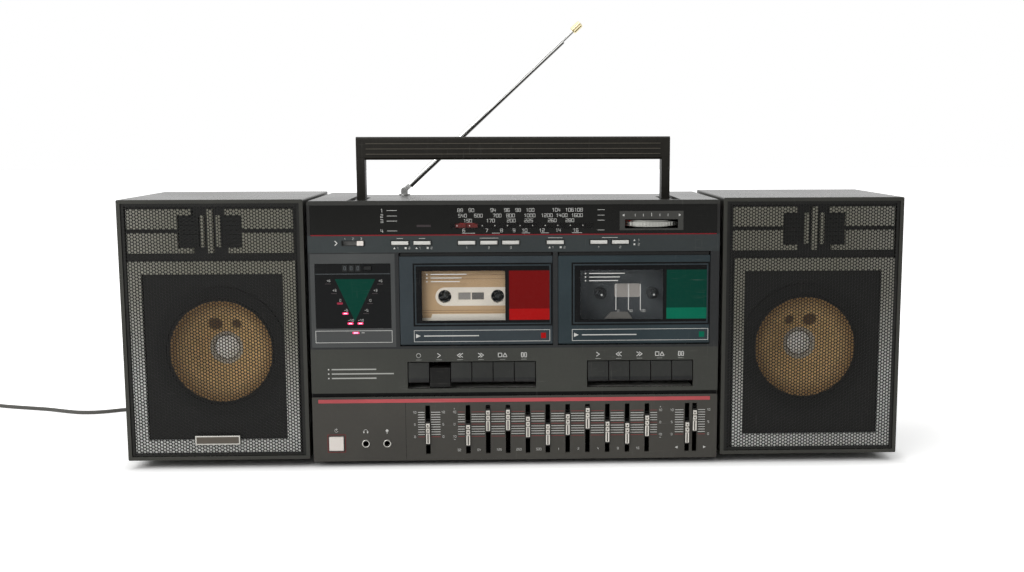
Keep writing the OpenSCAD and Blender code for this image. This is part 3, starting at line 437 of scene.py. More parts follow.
@dataclass(frozen=True)
class Finish:
    """A finish: its colour, its shine, and how both vary over the surface."""

    name: str
    colour: Colour
    roughness: float
    metallic: float = 0
    specular: float = 0.3
    mottle: float = 0.16
    grain: float = 900
    relief: float = 0.02
    scuff: float = 0.12
    dust: float = 0.06

    def build(self) -> bpy.types.Material:
        """Gives the finish's material, and makes it the first time."""
        if self.name not in MADE:
            material = bpy.data.materials.new("finish_" + self.name)
            material.use_nodes = True
            self.dress(Graph(material.node_tree), material.node_tree.nodes["Principled BSDF"])
            MADE[self.name] = material
        return MADE[self.name]

    def pattern(self, graph: Graph) -> object:
        """Gives the colour before wear, one for the whole surface here."""
        return tone(self.colour)

    def height(self, graph: Graph, grain: Socket) -> Socket:
        """Gives the relief of the surface, the moulded grain here."""
        return grain

    def rough(self, graph: Graph) -> object:
        """Gives the roughness before grain and dust, one for the whole surface here."""
        return self.roughness

    def extras(self, graph: Graph) -> dict[str, object]:
        """Gives further inputs of the shader, none here. A finish that glows or lets light through has some."""
        return {}

    def dress(self, graph: Graph, shader: bpy.types.Node) -> None:
        """Joins the pattern, grain, scuffs and dust to the shader.

        Args:
            graph: The material's graph.
            shader: Its shader.
        """
        grain, slow = Effects.use(graph, Effects.moulded_grain, "Height Tone", Scale=self.grain, Slow=14)
        scuffs, = Effects.use(graph, Effects.scuffs, "Mask", Amount=self.scuff)
        dust, = Effects.use(graph, Effects.dust, "Mask", Amount=self.dust)
        value = graph.ramp(slow, 0, 1, 1 - self.mottle, 1 + self.mottle)
        varied = graph.add("HueSaturation", {"Color": self.pattern(graph), "Value": value}).outputs["Color"]
        rough = graph.math("MULTIPLY", graph.ramp(slow, 0, 1, 0.9, 1.1), self.rough(graph))
        relief = {"Strength": 0.6, "Distance": self.relief * MM, "Height": self.height(graph, grain)}
        inputs = {
            "Base Color": graph.mix(dust, graph.mix(scuffs, varied, tone(RUBBED)), tone(DUSTY)),
            "Roughness": graph.math("ADD", rough, graph.math("MULTIPLY", dust, 0.3)),
            "Normal": graph.add("Bump", relief).outputs[0],
            "Metallic": self.metallic,
            "Specular IOR Level": self.specular,
        }
        for key, value in (inputs | self.extras(graph)).items():
            graph.put(shader.inputs[key], value)


@dataclass(frozen=True)
class HousingFinish(Finish):
    """Moulded housing with rubber feet, and on the front the bands that the photograph shows."""

    bands: tuple[tuple[float, float, Colour], ...] = ()
    meter_plate: Span = (-162.6, -95.6, 98.6, 173.6)
    plate_colour: Colour = (62, 64, 64)
    rubber: Colour = (20, 20, 19)
    front_depth: float = 3
    top: float = 0.26

    def rough(self, graph: Graph) -> Socket:
        """Gives a smoother face where it looks up."""
        return graph.ramp(graph.normal()[2], 0.6, 0.95, self.roughness, self.top)

    def pattern(self, graph: Graph) -> Socket:
        """Gives the housing's colour by height, with the meter's plate and the feet."""
        x, y, z = graph.place()
        colour: object = tone(self.colour)
        front = graph.ramp(y, self.front_depth, self.front_depth + 0.4, 1, 0)
        for low, high, band in self.bands:
            colour = graph.mix(graph.all_of(front, graph.within(z, low, high)), colour, tone(band))
        if self.bands:
            plate = graph.within(x, *self.meter_plate[:2]), graph.within(z, *self.meter_plate[2:])
            colour = graph.mix(graph.all_of(front, *plate), colour, tone(self.plate_colour))
        return graph.mix(graph.ramp(z, 4.6, 5, 1, 0), colour, tone(self.rubber))


@dataclass(frozen=True)
class CabinetFinish(HousingFinish):
    """Moulded cabinet that is black behind its grille."""

    inside: Span = (169.8, 309.5, 10.3, 214)
    deep: Flat = (0.6, 148)
    black: Colour = (7, 7, 7)

    def pattern(self, graph: Graph) -> Socket:
        """Gives the cabinet's colour, and black behind the grille."""
        x, y, z = graph.place()
        across = graph.within(graph.math("ABSOLUTE", x), *self.inside[:2])
        behind = graph.all_of(across, graph.within(z, *self.inside[2:]), graph.within(y, *self.deep))
        return graph.mix(behind, tone(self.colour), tone(self.black))


@dataclass(frozen=True)
class BrushedFinish(Finish):
    """Metal with a fine brushed grain along one axis."""

    along: Axis = Axis.X

    def height(self, graph: Graph, grain: Socket) -> Socket:
        """Gives the brushed relief."""
        stretch = tuple(1 if i == self.along.value else 40 for i in range(3))
        return graph.math("ADD", graph.noise(60, stretch, 2), graph.math("MULTIPLY", grain, 0.05))


@dataclass(frozen=True)
class FoilFinish(BrushedFinish):
    """Silver foil behind the grille, with painted light and shade: darker towards the top and towards the middle of the
    recorder, brighter towards the bottom and the outer edge.
    """

    # the dark end of the foil's painted shade
    painted_shade: Colour = (168, 166, 150)

    def pattern(self, graph: Graph) -> Socket:
        """Gives the foil's colour from bright to dark, as painted light and shade."""
        x, _, z = graph.place()
        outward = graph.ramp(graph.math("ABSOLUTE", x), 175, 305, 0, 0.45)
        bright = graph.math("ADD", outward, graph.ramp(z, 30, 140, 0.8, -0.3))
        return graph.mix(graph.ramp(bright, 0, 0.8), tone(self.painted_shade), tone(self.colour))


@dataclass(frozen=True)
class SliderFinish(BrushedFinish):
    """Bright face of a slider's blade, with painted shade on its sloped faces and black behind the panel."""

    # painted shade on the blade's sloped faces
    slope_shade: Colour = (52, 51, 49)
    stem: Colour = (14, 14, 14)

    def pattern(self, graph: Graph) -> Socket:
        """Gives the blade's colours by depth."""
        _, y, _ = graph.place()
        blade = graph.mix(graph.ramp(y, -1.98, -1.94), tone(self.colour), tone(self.slope_shade))
        return graph.mix(graph.ramp(y, 0.4, 0.8), blade, tone(self.stem))


@dataclass(frozen=True)
class WheelFinish(Finish):
    """Bright metal with milled ridges round the wheel's rim."""

    centre: Flat = (109.1, 27)
    ridges: float = 320

    def height(self, graph: Graph, grain: Socket) -> Socket:
        """Gives the milled relief."""
        x, y, _ = graph.place()
        across, back = (graph.math("SUBTRACT", v, c) for v, c in zip((x, y), self.centre))
        return graph.math("SINE", graph.math("MULTIPLY", graph.math("ARCTAN2", back, across), self.ridges))


@dataclass(frozen=True)
class AerialFinish(Finish):
    """Chromed tube with a cream tip, with a painted darker reflection on the side that looks down."""

    foot: Flat = (-97.1, 217.9)
    lean: float = 42.8
    tip: float = 204.5
    painted_dark_side: Colour = (78, 77, 74)
    cream: Colour = (238, 224, 180)

    def pattern(self, graph: Graph) -> Socket:
        """Gives chrome, and cream past the tip's start."""
        x, _, z = graph.place()
        lean = math.radians(self.lean)
        ways = zip((x, z), self.foot, (math.cos(lean), math.sin(lean)))
        along = graph.math("ADD", *(graph.math("MULTIPLY", graph.math("SUBTRACT", v, f), c) for v, f, c in ways))
        # painted reflection: the tube is darkened where it looks right and down
        aside, _, upward = graph.normal()
        below = graph.ramp(graph.math("SUBTRACT", aside, upward), 0.2, 1.1, 0, 0.9)
        chrome = graph.mix(below, tone(self.colour), tone(self.painted_dark_side))
        return graph.mix(graph.ramp(along, self.tip - 0.1, self.tip), chrome, tone(self.cream))


@dataclass(frozen=True)
class PaneFinish(Finish):
    """A moulding with a glossy black pane that is clear in a part of it."""

    pane: Span = (0, 1, 0, 1)
    clear: Span = (0, 1, 0, 1)
    pane_colour: Colour = (9, 10, 12)
    clear_colour: Colour = (60, 62, 64)
    depth: float = 1.75
    film: float = 0.1
    shine: float = 0.12

    def mask(self, graph: Graph, area: Span) -> Socket:
        """Gives the mask of the pane or of its clear part."""
        x, y, z = graph.place()
        near = graph.ramp(y, self.depth - 0.05, self.depth + 0.05, 1, 0)
        return graph.all_of(near, graph.within(x, *area[:2]), graph.within(z, *area[2:]))

    def pattern(self, graph: Graph) -> Socket:
        """Gives the moulding, the pane and its clear part."""
        pane = graph.mix(self.mask(graph, self.pane), tone(self.colour), tone(self.pane_colour))
        return graph.mix(self.mask(graph, self.clear), pane, tone(self.clear_colour))

    def rough(self, graph: Graph) -> Socket:
        """Gives the roughness of the moulding and of the pane."""
        return graph.ramp(self.mask(graph, self.pane), 0, 1, self.roughness, self.shine)

    def extras(self, graph: Graph) -> dict[str, object]:
        """Lets light through the pane's clear part."""
        return {"Alpha": graph.ramp(self.mask(graph, self.clear), 0, 1, 1, self.film)}


@dataclass(frozen=True)
class ConeFinish(Finish):
    """Paper cone with a metal dome, a bright ring round it, glue spots, painted shade towards its rim and a black
    surround.
    """

    centre: Flat = (235.65, 95.4)
    cone: float = 40.4
    dome: float = 9.4
    metal: Colour = (255, 254, 250)
    surround: Colour = (24, 24, 24)
    glue: tuple[Point, ...] = ((6.8, 20.5, 6.2), (-10.2, 20.5, 4.8))
    rings: tuple[tuple[float, float, Colour], ...] = ((9, 10.4, (112, 102, 90)), (10.4, 13.4, (196, 188, 174)))

    def pattern(self, graph: Graph) -> Socket:
        """Gives the rings of the loudspeaker unit."""
        x, y, z = graph.place()
        across = graph.math("ABSOLUTE", x)
        radius = graph.from_axis(across, z, self.centre)
        fibres = graph.ramp(graph.noise(500, detail=6), 0.3, 0.7)
        paper = graph.mix(fibres, tone(self.colour), tone(tuple(c * 0.82 for c in self.colour)))
        ribs = graph.ramp(graph.math("SINE", graph.math("MULTIPLY", radius, 2.6)), -1, 1, 0, 0.22)
        paper = graph.mix(ribs, paper, tone((70, 46, 24)))
        for dx, dz, reach in self.glue:
            spot = graph.from_axis(across, z, (self.centre[0] + dx, self.centre[1] + dz))
            paper = graph.mix(graph.ramp(spot, reach - 1.6, reach, 0.85, 0), paper, tone((70, 36, 20)))
        # painted shade: the paper darkens towards the rim
        paper = graph.mix(graph.ramp(radius, 30, self.cone, 0, 0.7), paper, tone((120, 76, 34)))
        for low, high, colour in self.rings:
            paper = graph.mix(graph.within(radius, low, high, 0.2), paper, tone(colour))
        whole = graph.mix(graph.ramp(radius, self.dome, self.dome + 0.3, 1, 0), paper, tone(self.metal))
        black = graph.math("MAXIMUM", graph.ramp(radius, self.cone, self.cone + 0.5), graph.ramp(y, 34, 35))
        return graph.mix(black, whole, tone(self.surround))


@dataclass(frozen=True)
class KeyFinish(Finish):
    """Black key with a paler upper face, and a darker lower face that is painted shade."""

    split: float = 73.2
    # painted shade of the key's lower face
    low: Colour = (27, 28, 28)

    def pattern(self, graph: Graph) -> Socket:
        """Gives the key's two faces, the lower one darkened as painted shade."""
        upper = graph.ramp(graph.place()[2], self.split - 0.2, self.split + 0.2)
        return graph.mix(upper, tone(self.low), tone(self.colour))


@dataclass(frozen=True)
class DeckFinish(Finish):
    """Grey deck chassis with dark spindles, a painted highlight on the ends of the right pair, and grey heads."""

    plate: float = 23.8
    tip: float = 10.2
    head_top: float = 126
    ends: tuple[Flat, ...] = ((70.1, 138.3), (112.6, 138.3))
    stems: Colour = (62, 65, 66)
    heads: Colour = (158, 156, 150)
    # the colour of the painted highlights on the spindle ends
    bright: Colour = (236, 236, 232)

    def pattern(self, graph: Graph) -> Socket:
        """Gives the chassis, the heads, the spindles and the painted highlights on their ends."""
        x, y, z = graph.place()
        ahead = graph.ramp(y, self.plate - 0.2, self.plate, 1, 0)
        colour = graph.mix(ahead, tone(self.colour), tone(self.stems))
        low = graph.all_of(ahead, graph.ramp(z, self.head_top, self.head_top + 0.4, 1, 0))
        colour = graph.mix(low, colour, tone(self.heads))
        # painted highlight: a bright dot at the end of each spindle
        for end in self.ends:
            dot = graph.ramp(graph.from_axis(x, z, end), 0.7, 0.9, 1, 0)
            dot = graph.all_of(dot, graph.ramp(y, self.tip, self.tip + 0.1, 1, 0))
            colour = graph.mix(dot, colour, tone(self.bright))
        return colour


@dataclass(frozen=True)
class LampFinish(Finish):
    """A small lamp that glows unevenly."""

    strength: float = 1

    def extras(self, graph: Graph) -> dict[str, object]:
        """Makes the lamp glow."""
        brighter = tone(tuple(min(255.0, c * 1.15) for c in self.colour))
        glow = graph.mix(graph.noise(300), tone(self.colour), brighter)
        return {"Emission Color": glow, "Emission Strength": self.strength}


def ink(name: str, colour: Colour, rough: float = 0.5, **more: float) -> Finish:
    """Gives a printing ink."""
    return Finish(name + "_ink", colour, rough, **({"relief": 0.004, "grain": 2500, "mottle": 0.1} | more))


def film(name: str, colour: Colour) -> Finish:
    """Gives a coloured film on a door or on the meter."""
    return Finish(name + "_film", colour, 0.2, specular=0.03, relief=0.002, mottle=0.06)


# The band from 57.9 to 61.1 is the groove above the panel, made near black as painted shade.
BANDS = (
    (5, 57.9, (58, 56, 51)), (57.9, 61.1, (6, 6, 6)), (61.1, 97, (51, 52, 47)), (97, 174.6, (26, 28, 29)),
    (174.6, 188.2, (42, 48, 49)), (188.2, 212.2, (20, 20, 18)),
)
HOUSING_FRONT = HousingFinish("housing_front", (42, 42, 39), 0.38, bands=BANDS)
HOUSING_REAR = HousingFinish("housing_rear", (42, 42, 39), 0.42)
CABINET = CabinetFinish("cabinet_plastic", (48, 48, 43), 0.36)
HANDLE = Finish("handle_plastic", (28, 26, 21), 0.45, specular=0.2, grain=1100)
# painted highlight: a lighter line along the top of each handle rib
HANDLE_RIB_HIGHLIGHT = Finish("handle_rib_highlight", (84, 79, 70), 0.45, grain=1100)
KEYS = KeyFinish("key_plastic", (42, 43, 41), 0.36, relief=0.01)
# A darker copy of the key finish for the pressed key: painted shade of its recess.
KEY_DOWN_SHADED = KeyFinish("key_pressed_shaded", (22, 22, 21), 0.4, specular=0.15, relief=0.01, split=60)
KEY_WELL = Finish("key_well", (190, 189, 184), 0.5)
DECK = DeckFinish("deck_plastic", (92, 97, 100), 0.5)
CASSETTE = Finish("cassette_plastic", (246, 238, 224), 0.4, relief=0.006)
CONE = ConeFinish("cone_paper", (255, 216, 150), 0.75, grain=600, relief=0.06, mottle=0.08)
GRILLE = Finish("grille_enamel", (27, 27, 25), 0.42, specular=0.2, grain=1500, relief=0.008, scuff=0.06)
BRIGHT = BrushedFinish(
    "bright_metal", (176, 174, 168), 0.24, metallic=1, scuff=0.05, dust=0.02, mottle=0.05, relief=0.006,
)
FOIL = FoilFinish(
    "silver_foil", (255, 255, 250), 0.4, metallic=0.1, scuff=0.08, dust=0.02, mottle=0.06, relief=0.008,
)
SLIDER = SliderFinish("slider_metal", (206, 202, 194), 0.34, metallic=0.6, dust=0.02, relief=0.008, along=Axis.Z)
# painted shade in the grips and grooves of the sliders
SLIDER_GROOVE_SHADE = Finish("slider_groove_shade", (54, 51, 48), 0.5, relief=0.004)
WHEEL = WheelFinish("wheel_metal", (172, 172, 166), 0.3, metallic=0.8, dust=0.02)
AERIAL = AerialFinish(
    "aerial_chrome", (238, 238, 236), 0.14, metallic=1, scuff=0.02, dust=0.01, mottle=0.03, relief=0.001,
)
BUTTON = {"relief": 0.006, "dust": 0.03, "mottle": 0.05}
SILVER = Finish("silver_button", (204, 203, 198), 0.34, metallic=0.3, **BUTTON)
WHITE = Finish("white_button", (222, 215, 208), 0.42, **BUTTON)
DARK = Finish("dark_button", (26, 27, 27), 0.36, relief=0.008, specular=0.2)
# The pointer is no lamp: its glow is painted light.
POINTER_PAINTED_GLOW = LampFinish("pointer_red", (255, 104, 100), 0.4, strength=5)
GLASS = {"relief": 0.002, "scuff": 0.04, "dust": 0.02}
DIAL_GLASS = PaneFinish(
    "dial_glass", (15, 15, 13), 0.14, specular=0.16, film=0.86, shine=0.14, pane=(-170, 170, 180, 220),
    clear=(-50.6, 62.4, 193.2, 197.6), pane_colour=(15, 15, 13), clear_colour=(15, 14, 13), **GLASS,
)
METER_GLASS = Finish("meter_glass", (13, 14, 15), 0.14, specular=0.1, **GLASS)
PANE_Z, CLEAR_Z = (116.3, 164.6), (119.5, 159.7)
# The right door's darker colour is a shaded copy of the left's: painted shade, as the light falls from the left.
DOORS = {
    Side.LEFT: PaneFinish(
        "door_left", (56, 63, 67), 0.36, specular=0.08, pane=(-80.2, 28.7, *PANE_Z), clear=(-74.4, -7.9, *CLEAR_Z),
    ),
    Side.RIGHT: PaneFinish(
        "door_right_shaded", (48, 58, 62), 0.36, specular=0.08, pane=(46.4, 155.3, *PANE_Z), clear=(52.2, 119, *CLEAR_Z),
    ),
}
DOOR_LINE = Finish("door_line", (50, 58, 62), 0.4, specular=0.08, relief=0.006)
LEAD = Finish("lead_sheath", (84, 83, 79), 0.5, grain=700, relief=0.03)
PLUG = Finish("plug_plastic", (30, 30, 30), 0.45)
INK_WHITE = ink("white", (206, 206, 202), scuff=0.1)
INK_PALE = ink("pale", (164, 165, 160))
INK_GREY = ink("grey", (96, 102, 105))
INK_RED = ink("red", (128, 28, 36), specular=0.1)
INK_DULL_RED = ink("dull_red", (122, 48, 48))
INK_BLACK = ink("black", (8, 8, 9), 0.4, specular=0.08, mottle=0.16)
INK_LABEL = ink("cassette", (110, 78, 58), 0.6, grain=1600, mottle=0.16)
RED_BAR = Finish("red_bar_paint", (176, 76, 80), 0.45, relief=0.01, scuff=0.2)
RED_BLOCK, RED_BAND = film("red_block", (112, 18, 18)), film("red_band", (164, 22, 22))
GREEN_BLOCK, GREEN_BAND = film("green_block", (10, 60, 49)), film("green_band", (10, 102, 78))
LABEL = Finish("cassette_label", (206, 174, 134), 0.6, grain=1600, relief=0.01, mottle=0.1, scuff=0.2)
TAPE_PALE = Finish("tape_pane_pale", (150, 147, 142), 0.3, relief=0.004)
TAPE_DARK = Finish("tape_pane_dark", (106, 104, 101), 0.3, relief=0.004)
BEIGE = Finish("beige_card", (222, 215, 208), 0.55, grain=1200, relief=0.01)
LAMP_LIT = LampFinish("lamp_lit", (236, 36, 96), 0.4)
LAMP_CORE = LampFinish("lamp_core", (255, 178, 206), 0.4)
LAMP_DIM = LampFinish("lamp_dim", (122, 20, 44), 0.4, strength=0.4)
LAMP_OFF = Finish("lamp_off", (46, 38, 40), 0.4, relief=0.004)
PLATE_FIELD = Finish("plate_field", (84, 78, 70), 0.4, metallic=0.4)
TUNING_PLATE = Finish("tuning_plate", (56, 56, 53), 0.4)
CURTAIN = Finish("band_curtain", (112, 112, 110), 0.45)
FLOOR = Finish("floor_paper", (246, 246, 245), 0.7, grain=250, mottle=0.004, scuff=0, dust=0)


def finish_nodes(finish: Finish, *nodes: str) -> None:
    """Gives nodes of the frame their finish."""
    for node in nodes:
        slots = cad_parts[node].data.materials
        slots.clear()
        slots.append(finish.build())
        LOG.info("finish %s on node %s", finish.name, node)


@dataclass
class Studio:
    """The pale floor, the soft light and the camera of the photograph."""

    eye: Point = (-0.0075493, -1.1255726, 0.267226)
    yaw: float = 0.0386137
    pitch: float = -0.1480772
    roll: float = -0.0021348
    lens: float = 46.503
    sensor: float = 36
    shift: Flat = (-0.04347, 0.04441)
    floor_half: float = 9
    shade: Flat = (312, 75)
    fill: float = 0.33

    def camera(self) -> None:
        """Sets up the camera of the photograph."""
        data = bpy.data.cameras.new("camera")
        data.sensor_fit, data.sensor_width, data.lens = "HORIZONTAL", self.sensor, self.lens
        data.shift_x, data.shift_y = self.shift
        data.clip_start, data.clip_end = 0.02, 60
        turned = Matrix.Translation(self.eye)
        for angle, axis in ((-self.yaw, "Z"), (math.pi / 2 + self.pitch, "X"), (self.roll, "Z")):
            turned = turned @ Matrix.Rotation(angle, 4, axis)
        made = link(bpy.data.objects.new("camera", data))
        made.matrix_world = turned
        bpy.context.scene.camera = made

    def floor(self) -> None:
        """Lays the floor, a wide sheet that is lifted to white away from the part."""
        half = self.floor_half
        mesh = bpy.data.meshes.new("floor")
        mesh.from_pydata([(x, y, 0) for x, y in rect(-half, half, -half, half)], [], [(0, 1, 2, 3)])
        made = link(bpy.data.objects.new("floor", mesh))
        material = FLOOR.build()
        mesh.materials.append(material)
        graph = Graph(material.node_tree)
        path = graph.add("LightPath").outputs
        seen = path["Is Camera Ray"]
        for kind in ("Is Glossy Ray", "Is Transmission Ray"):
            seen = graph.math("MAXIMUM", seen, path[kind])
        x, y, _ = graph.place()
        wide, deep = self.shade
        beside = graph.math("SUBTRACT", graph.math("ABSOLUTE", x), wide)
        before = graph.math("SUBTRACT", graph.math("ABSOLUTE", graph.math("SUBTRACT", y, deep)), deep)
        away = graph.math("MAXIMUM", beside, before)
        near = graph.math("MULTIPLY", seen, graph.ramp(away, -12, 16, 0, 0.52))
        far = graph.math("MULTIPLY", path["Is Camera Ray"], graph.ramp(away, 60, 500, 0, 0.4))
        shader = material.node_tree.nodes["Principled BSDF"]
        graph.put(shader.inputs["Emission Color"], (1, 1, 1, 1))
        graph.put(shader.inputs["Emission Strength"], graph.math("ADD", near, far))

    def world(self) -> None:
        """Makes the surroundings: white to look at, dimmer in front where they only light the part."""
        world = bpy.data.worlds.new("surroundings")
        world.use_nodes = True
        bpy.context.scene.world = world
        graph = Graph(world.node_tree)
        path = graph.add("LightPath").outputs
        behind = graph.ramp(graph.split(graph.add("TexCoord").outputs["Generated"])[1], -0.5, 0.25, 0.42, 1)
        shown = graph.math("MAXIMUM", path["Is Glossy Ray"], path["Is Transmission Ray"])
        level: object = self.fill
        for ray, bright in ((shown, behind), (path["Is Camera Ray"], 1)):
            rest = graph.math("MULTIPLY", graph.math("SUBTRACT", 1, ray), level)
            level = graph.math("ADD", graph.math("MULTIPLY", ray, bright), rest)
        sky = world.node_tree.nodes["Background"]
        graph.put(sky.inputs["Color"], (1, 1, 1, 1))
        graph.put(sky.inputs["Strength"], level)

    def lamp(self, name: str, place: Point, aim: Point, size: Flat, power: float) -> None:
        """Hangs one soft box.

        Args:
            name: Its name.
            place: Where it hangs, in metres.
            aim: The point that it looks at, in metres.
            size: Its width and height, in metres.
            power: Its power in watts.
        """
        data = bpy.data.lights.new(name, "AREA")
        data.shape, data.size, data.size_y, data.energy = "RECTANGLE", *size, power
        made = link(bpy.data.objects.new(name, data))
        made.location = place
        made.rotation_mode = "QUATERNION"
        made.rotation_quaternion = (Vector(aim) - Vector(place)).to_track_quat("-Z", "Y")

    def build(self) -> None:
        """Builds the studio."""
        bpy.context.scene.view_settings.view_transform = "Standard"
        self.floor()
        self.world()
        self.lamp("top_box", (-0.15, -0.1, 1.7), (0, 0, 0.1), (2.4, 1.8), 13)
        self.lamp("front_box", (-1.3, -1.5, 1.1), (0, 0, 0.12), (1.6, 1.2), 26.5)


@dataclass
class MainsLead:
    """The mains lead: out of the strain relief, along the table, and the rest in a tied coil."""

    diameter: float = 3.6
    floor: float = 1.9
    coil_radius: float = 26
    coil_step: float = 4.6
    layer_rise: float = 4.4
    layer_turns: float = 2.5
    layers: int = 4
    turns: float = 9.5
    turn_steps: int = 24
    strap: Point = (14.4, 28.4, 17.8)
    strap_half: float = 2
    strap_thick: float = 0.7
    drop: tuple[Point, ...] = (
        (-148, 176, 34), (-148, 180, 34), (-148, 184, 34), (-148.6, 191, 32.7), (-150, 199, 28.8), (-153, 208, 21),
        (-158, 217, 11.5), (-167, 225, 4.5),
    )
    laid: tuple[Flat, ...] = (
        (-180, 231), (-200, 236), (-230, 240), (-265, 242), (-300, 242), (-335, 240), (-362, 236), (-381, 230),
        (-394, 223), (-407, 219), (-422, 220), (-438, 227), (-456, 236), (-476, 243), (-496, 250), (-514, 258),
        (-527, 265.5), (-535, 272.2), (-540.2, 281.2), (-542, 291.5), (-542, 297.5), (-542, 303.5),
    )
    tail: tuple[Point, ...] = (
        (-0.6, -8, -0.2), (-1.6, -18, -2), (-2.6, -28, -5.4), (-3.2, -38, -8), (-3.4, -48, -8.6), (-3.4, -54, -8.6),
    )

    def route(self, parts: int) -> list[Point]:
        """Gives the way from the strain relief to the coil, on one smooth curve.

        Args:
            parts: How many steps lie between two of its points.

        Returns:
            The points of the curve.
        """
        line = [*self.drop, *((x, y, self.floor) for x, y in self.laid)]
        made = []
        for i in range(len(line) - 1):
            a, b, c, d = (Vector(line[max(0, min(len(line) - 1, i + k))]) for k in (-1, 0, 1, 2))
            for t in (step / parts for step in range(parts)):
                curve = 2 * b + (c - a) * t + (2 * a - 5 * b + 4 * c - d) * t**2 + (3 * b - 3 * c + d - a) * t**3
                made.append(tuple(curve / 2))
        return made + [line[-1]]

    def middle(self) -> Flat:
        """Gives the coil's middle, one diameter past the route's end."""
        return self.laid[-1][0] - self.coil_radius, self.laid[-1][1] + self.diameter

    def coil(self) -> list[Point]:
        """Gives the coil's points: layers that wind in and out by turns, then the tail to the plug."""
        x, y = self.middle()
        flat_turns = self.layer_turns - 0.5
        made = []
        for u in (i / self.turn_steps for i in range(int(self.turns * self.turn_steps) + 1)):
            layer = min(int(u / self.layer_turns), self.layers - 1)
            over = u - self.layer_turns * layer
            inward = min(over, flat_turns)
            radius = self.coil_radius - self.coil_step * (inward if layer % 2 == 0 else flat_turns - inward)
            lift = 2 * max(over - flat_turns, 0) if layer < self.layers - 1 else 0
            angle = 2 * math.pi * u
            height = self.floor + self.layer_rise * (layer + lift)
            made.append((x + radius * math.cos(angle), y + radius * math.sin(angle), height))
        return made + [tuple(e + t for e, t in zip(made[-1], step)) for step in self.tail]

    def tie(self) -> bpy.types.Object:
        """Makes the strap that holds the coil, a rounded loop round all its turns."""
        x, y = self.middle()
        inner, outer, top = self.strap
        ring = [(inner, 0.09), (outer, 0.09), (outer + 0.9, 1.6), (outer + 0.9, top - 2), (outer - 1.6, top + 0.6)]
        ring += [(inner + 1.6, top + 0.6), (inner - 0.9, top - 2), (inner - 0.9, 1.6)]
        n = len(ring)
        middle = [sum(v) / n for v in zip(*ring)]
        points, faces = [], []
        for across in (-self.strap_half, self.strap_half):
            for grow in (0, self.strap_thick):
                for r, z in ring:
                    away = Vector((r - middle[0], z - middle[1])).normalized() * grow
                    points.append((x + across, y + r + away.x, max(0.03, z + away.y)))
        for k in range(n):
            m = (k + 1) % n
            faces += [(k, m, n + m, n + k), (2 * n + k, 3 * n + k, 3 * n + m, 2 * n + m)]
            faces += [(k, 2 * n + k, 2 * n + m, m), (n + k, n + m, 3 * n + m, 3 * n + k)]
        shape = Shape()
        shape.add(points, faces)
        return shape.piece("lead_tie", PLUG, "lead", edge=0.25)

    def build(self) -> None:
        line = [at(*p) for p in self.route(3) + self.coil()]
        curve = bpy.data.curves.new("mains_lead", "CURVE")
        curve.dimensions = "3D"
        curve.bevel_depth = self.diameter / 2 * MM
        curve.bevel_resolution = 3
        curve.use_fill_caps = True
        spline = curve.splines.new("POLY")
        spline.points.add(len(line) - 1)
        for point, place in zip(spline.points, line):
            point.co = (*place, 1.0)
        spline.use_smooth = True
        made = link(bpy.data.objects.new("mains_lead", curve))
        curve.materials.append(LEAD.build())
        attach(made, "main_unit")
        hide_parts("power_cord", "cord_coil")
        self.tie()
        finish_nodes(PLUG, "mains_plug", "strain_relief")


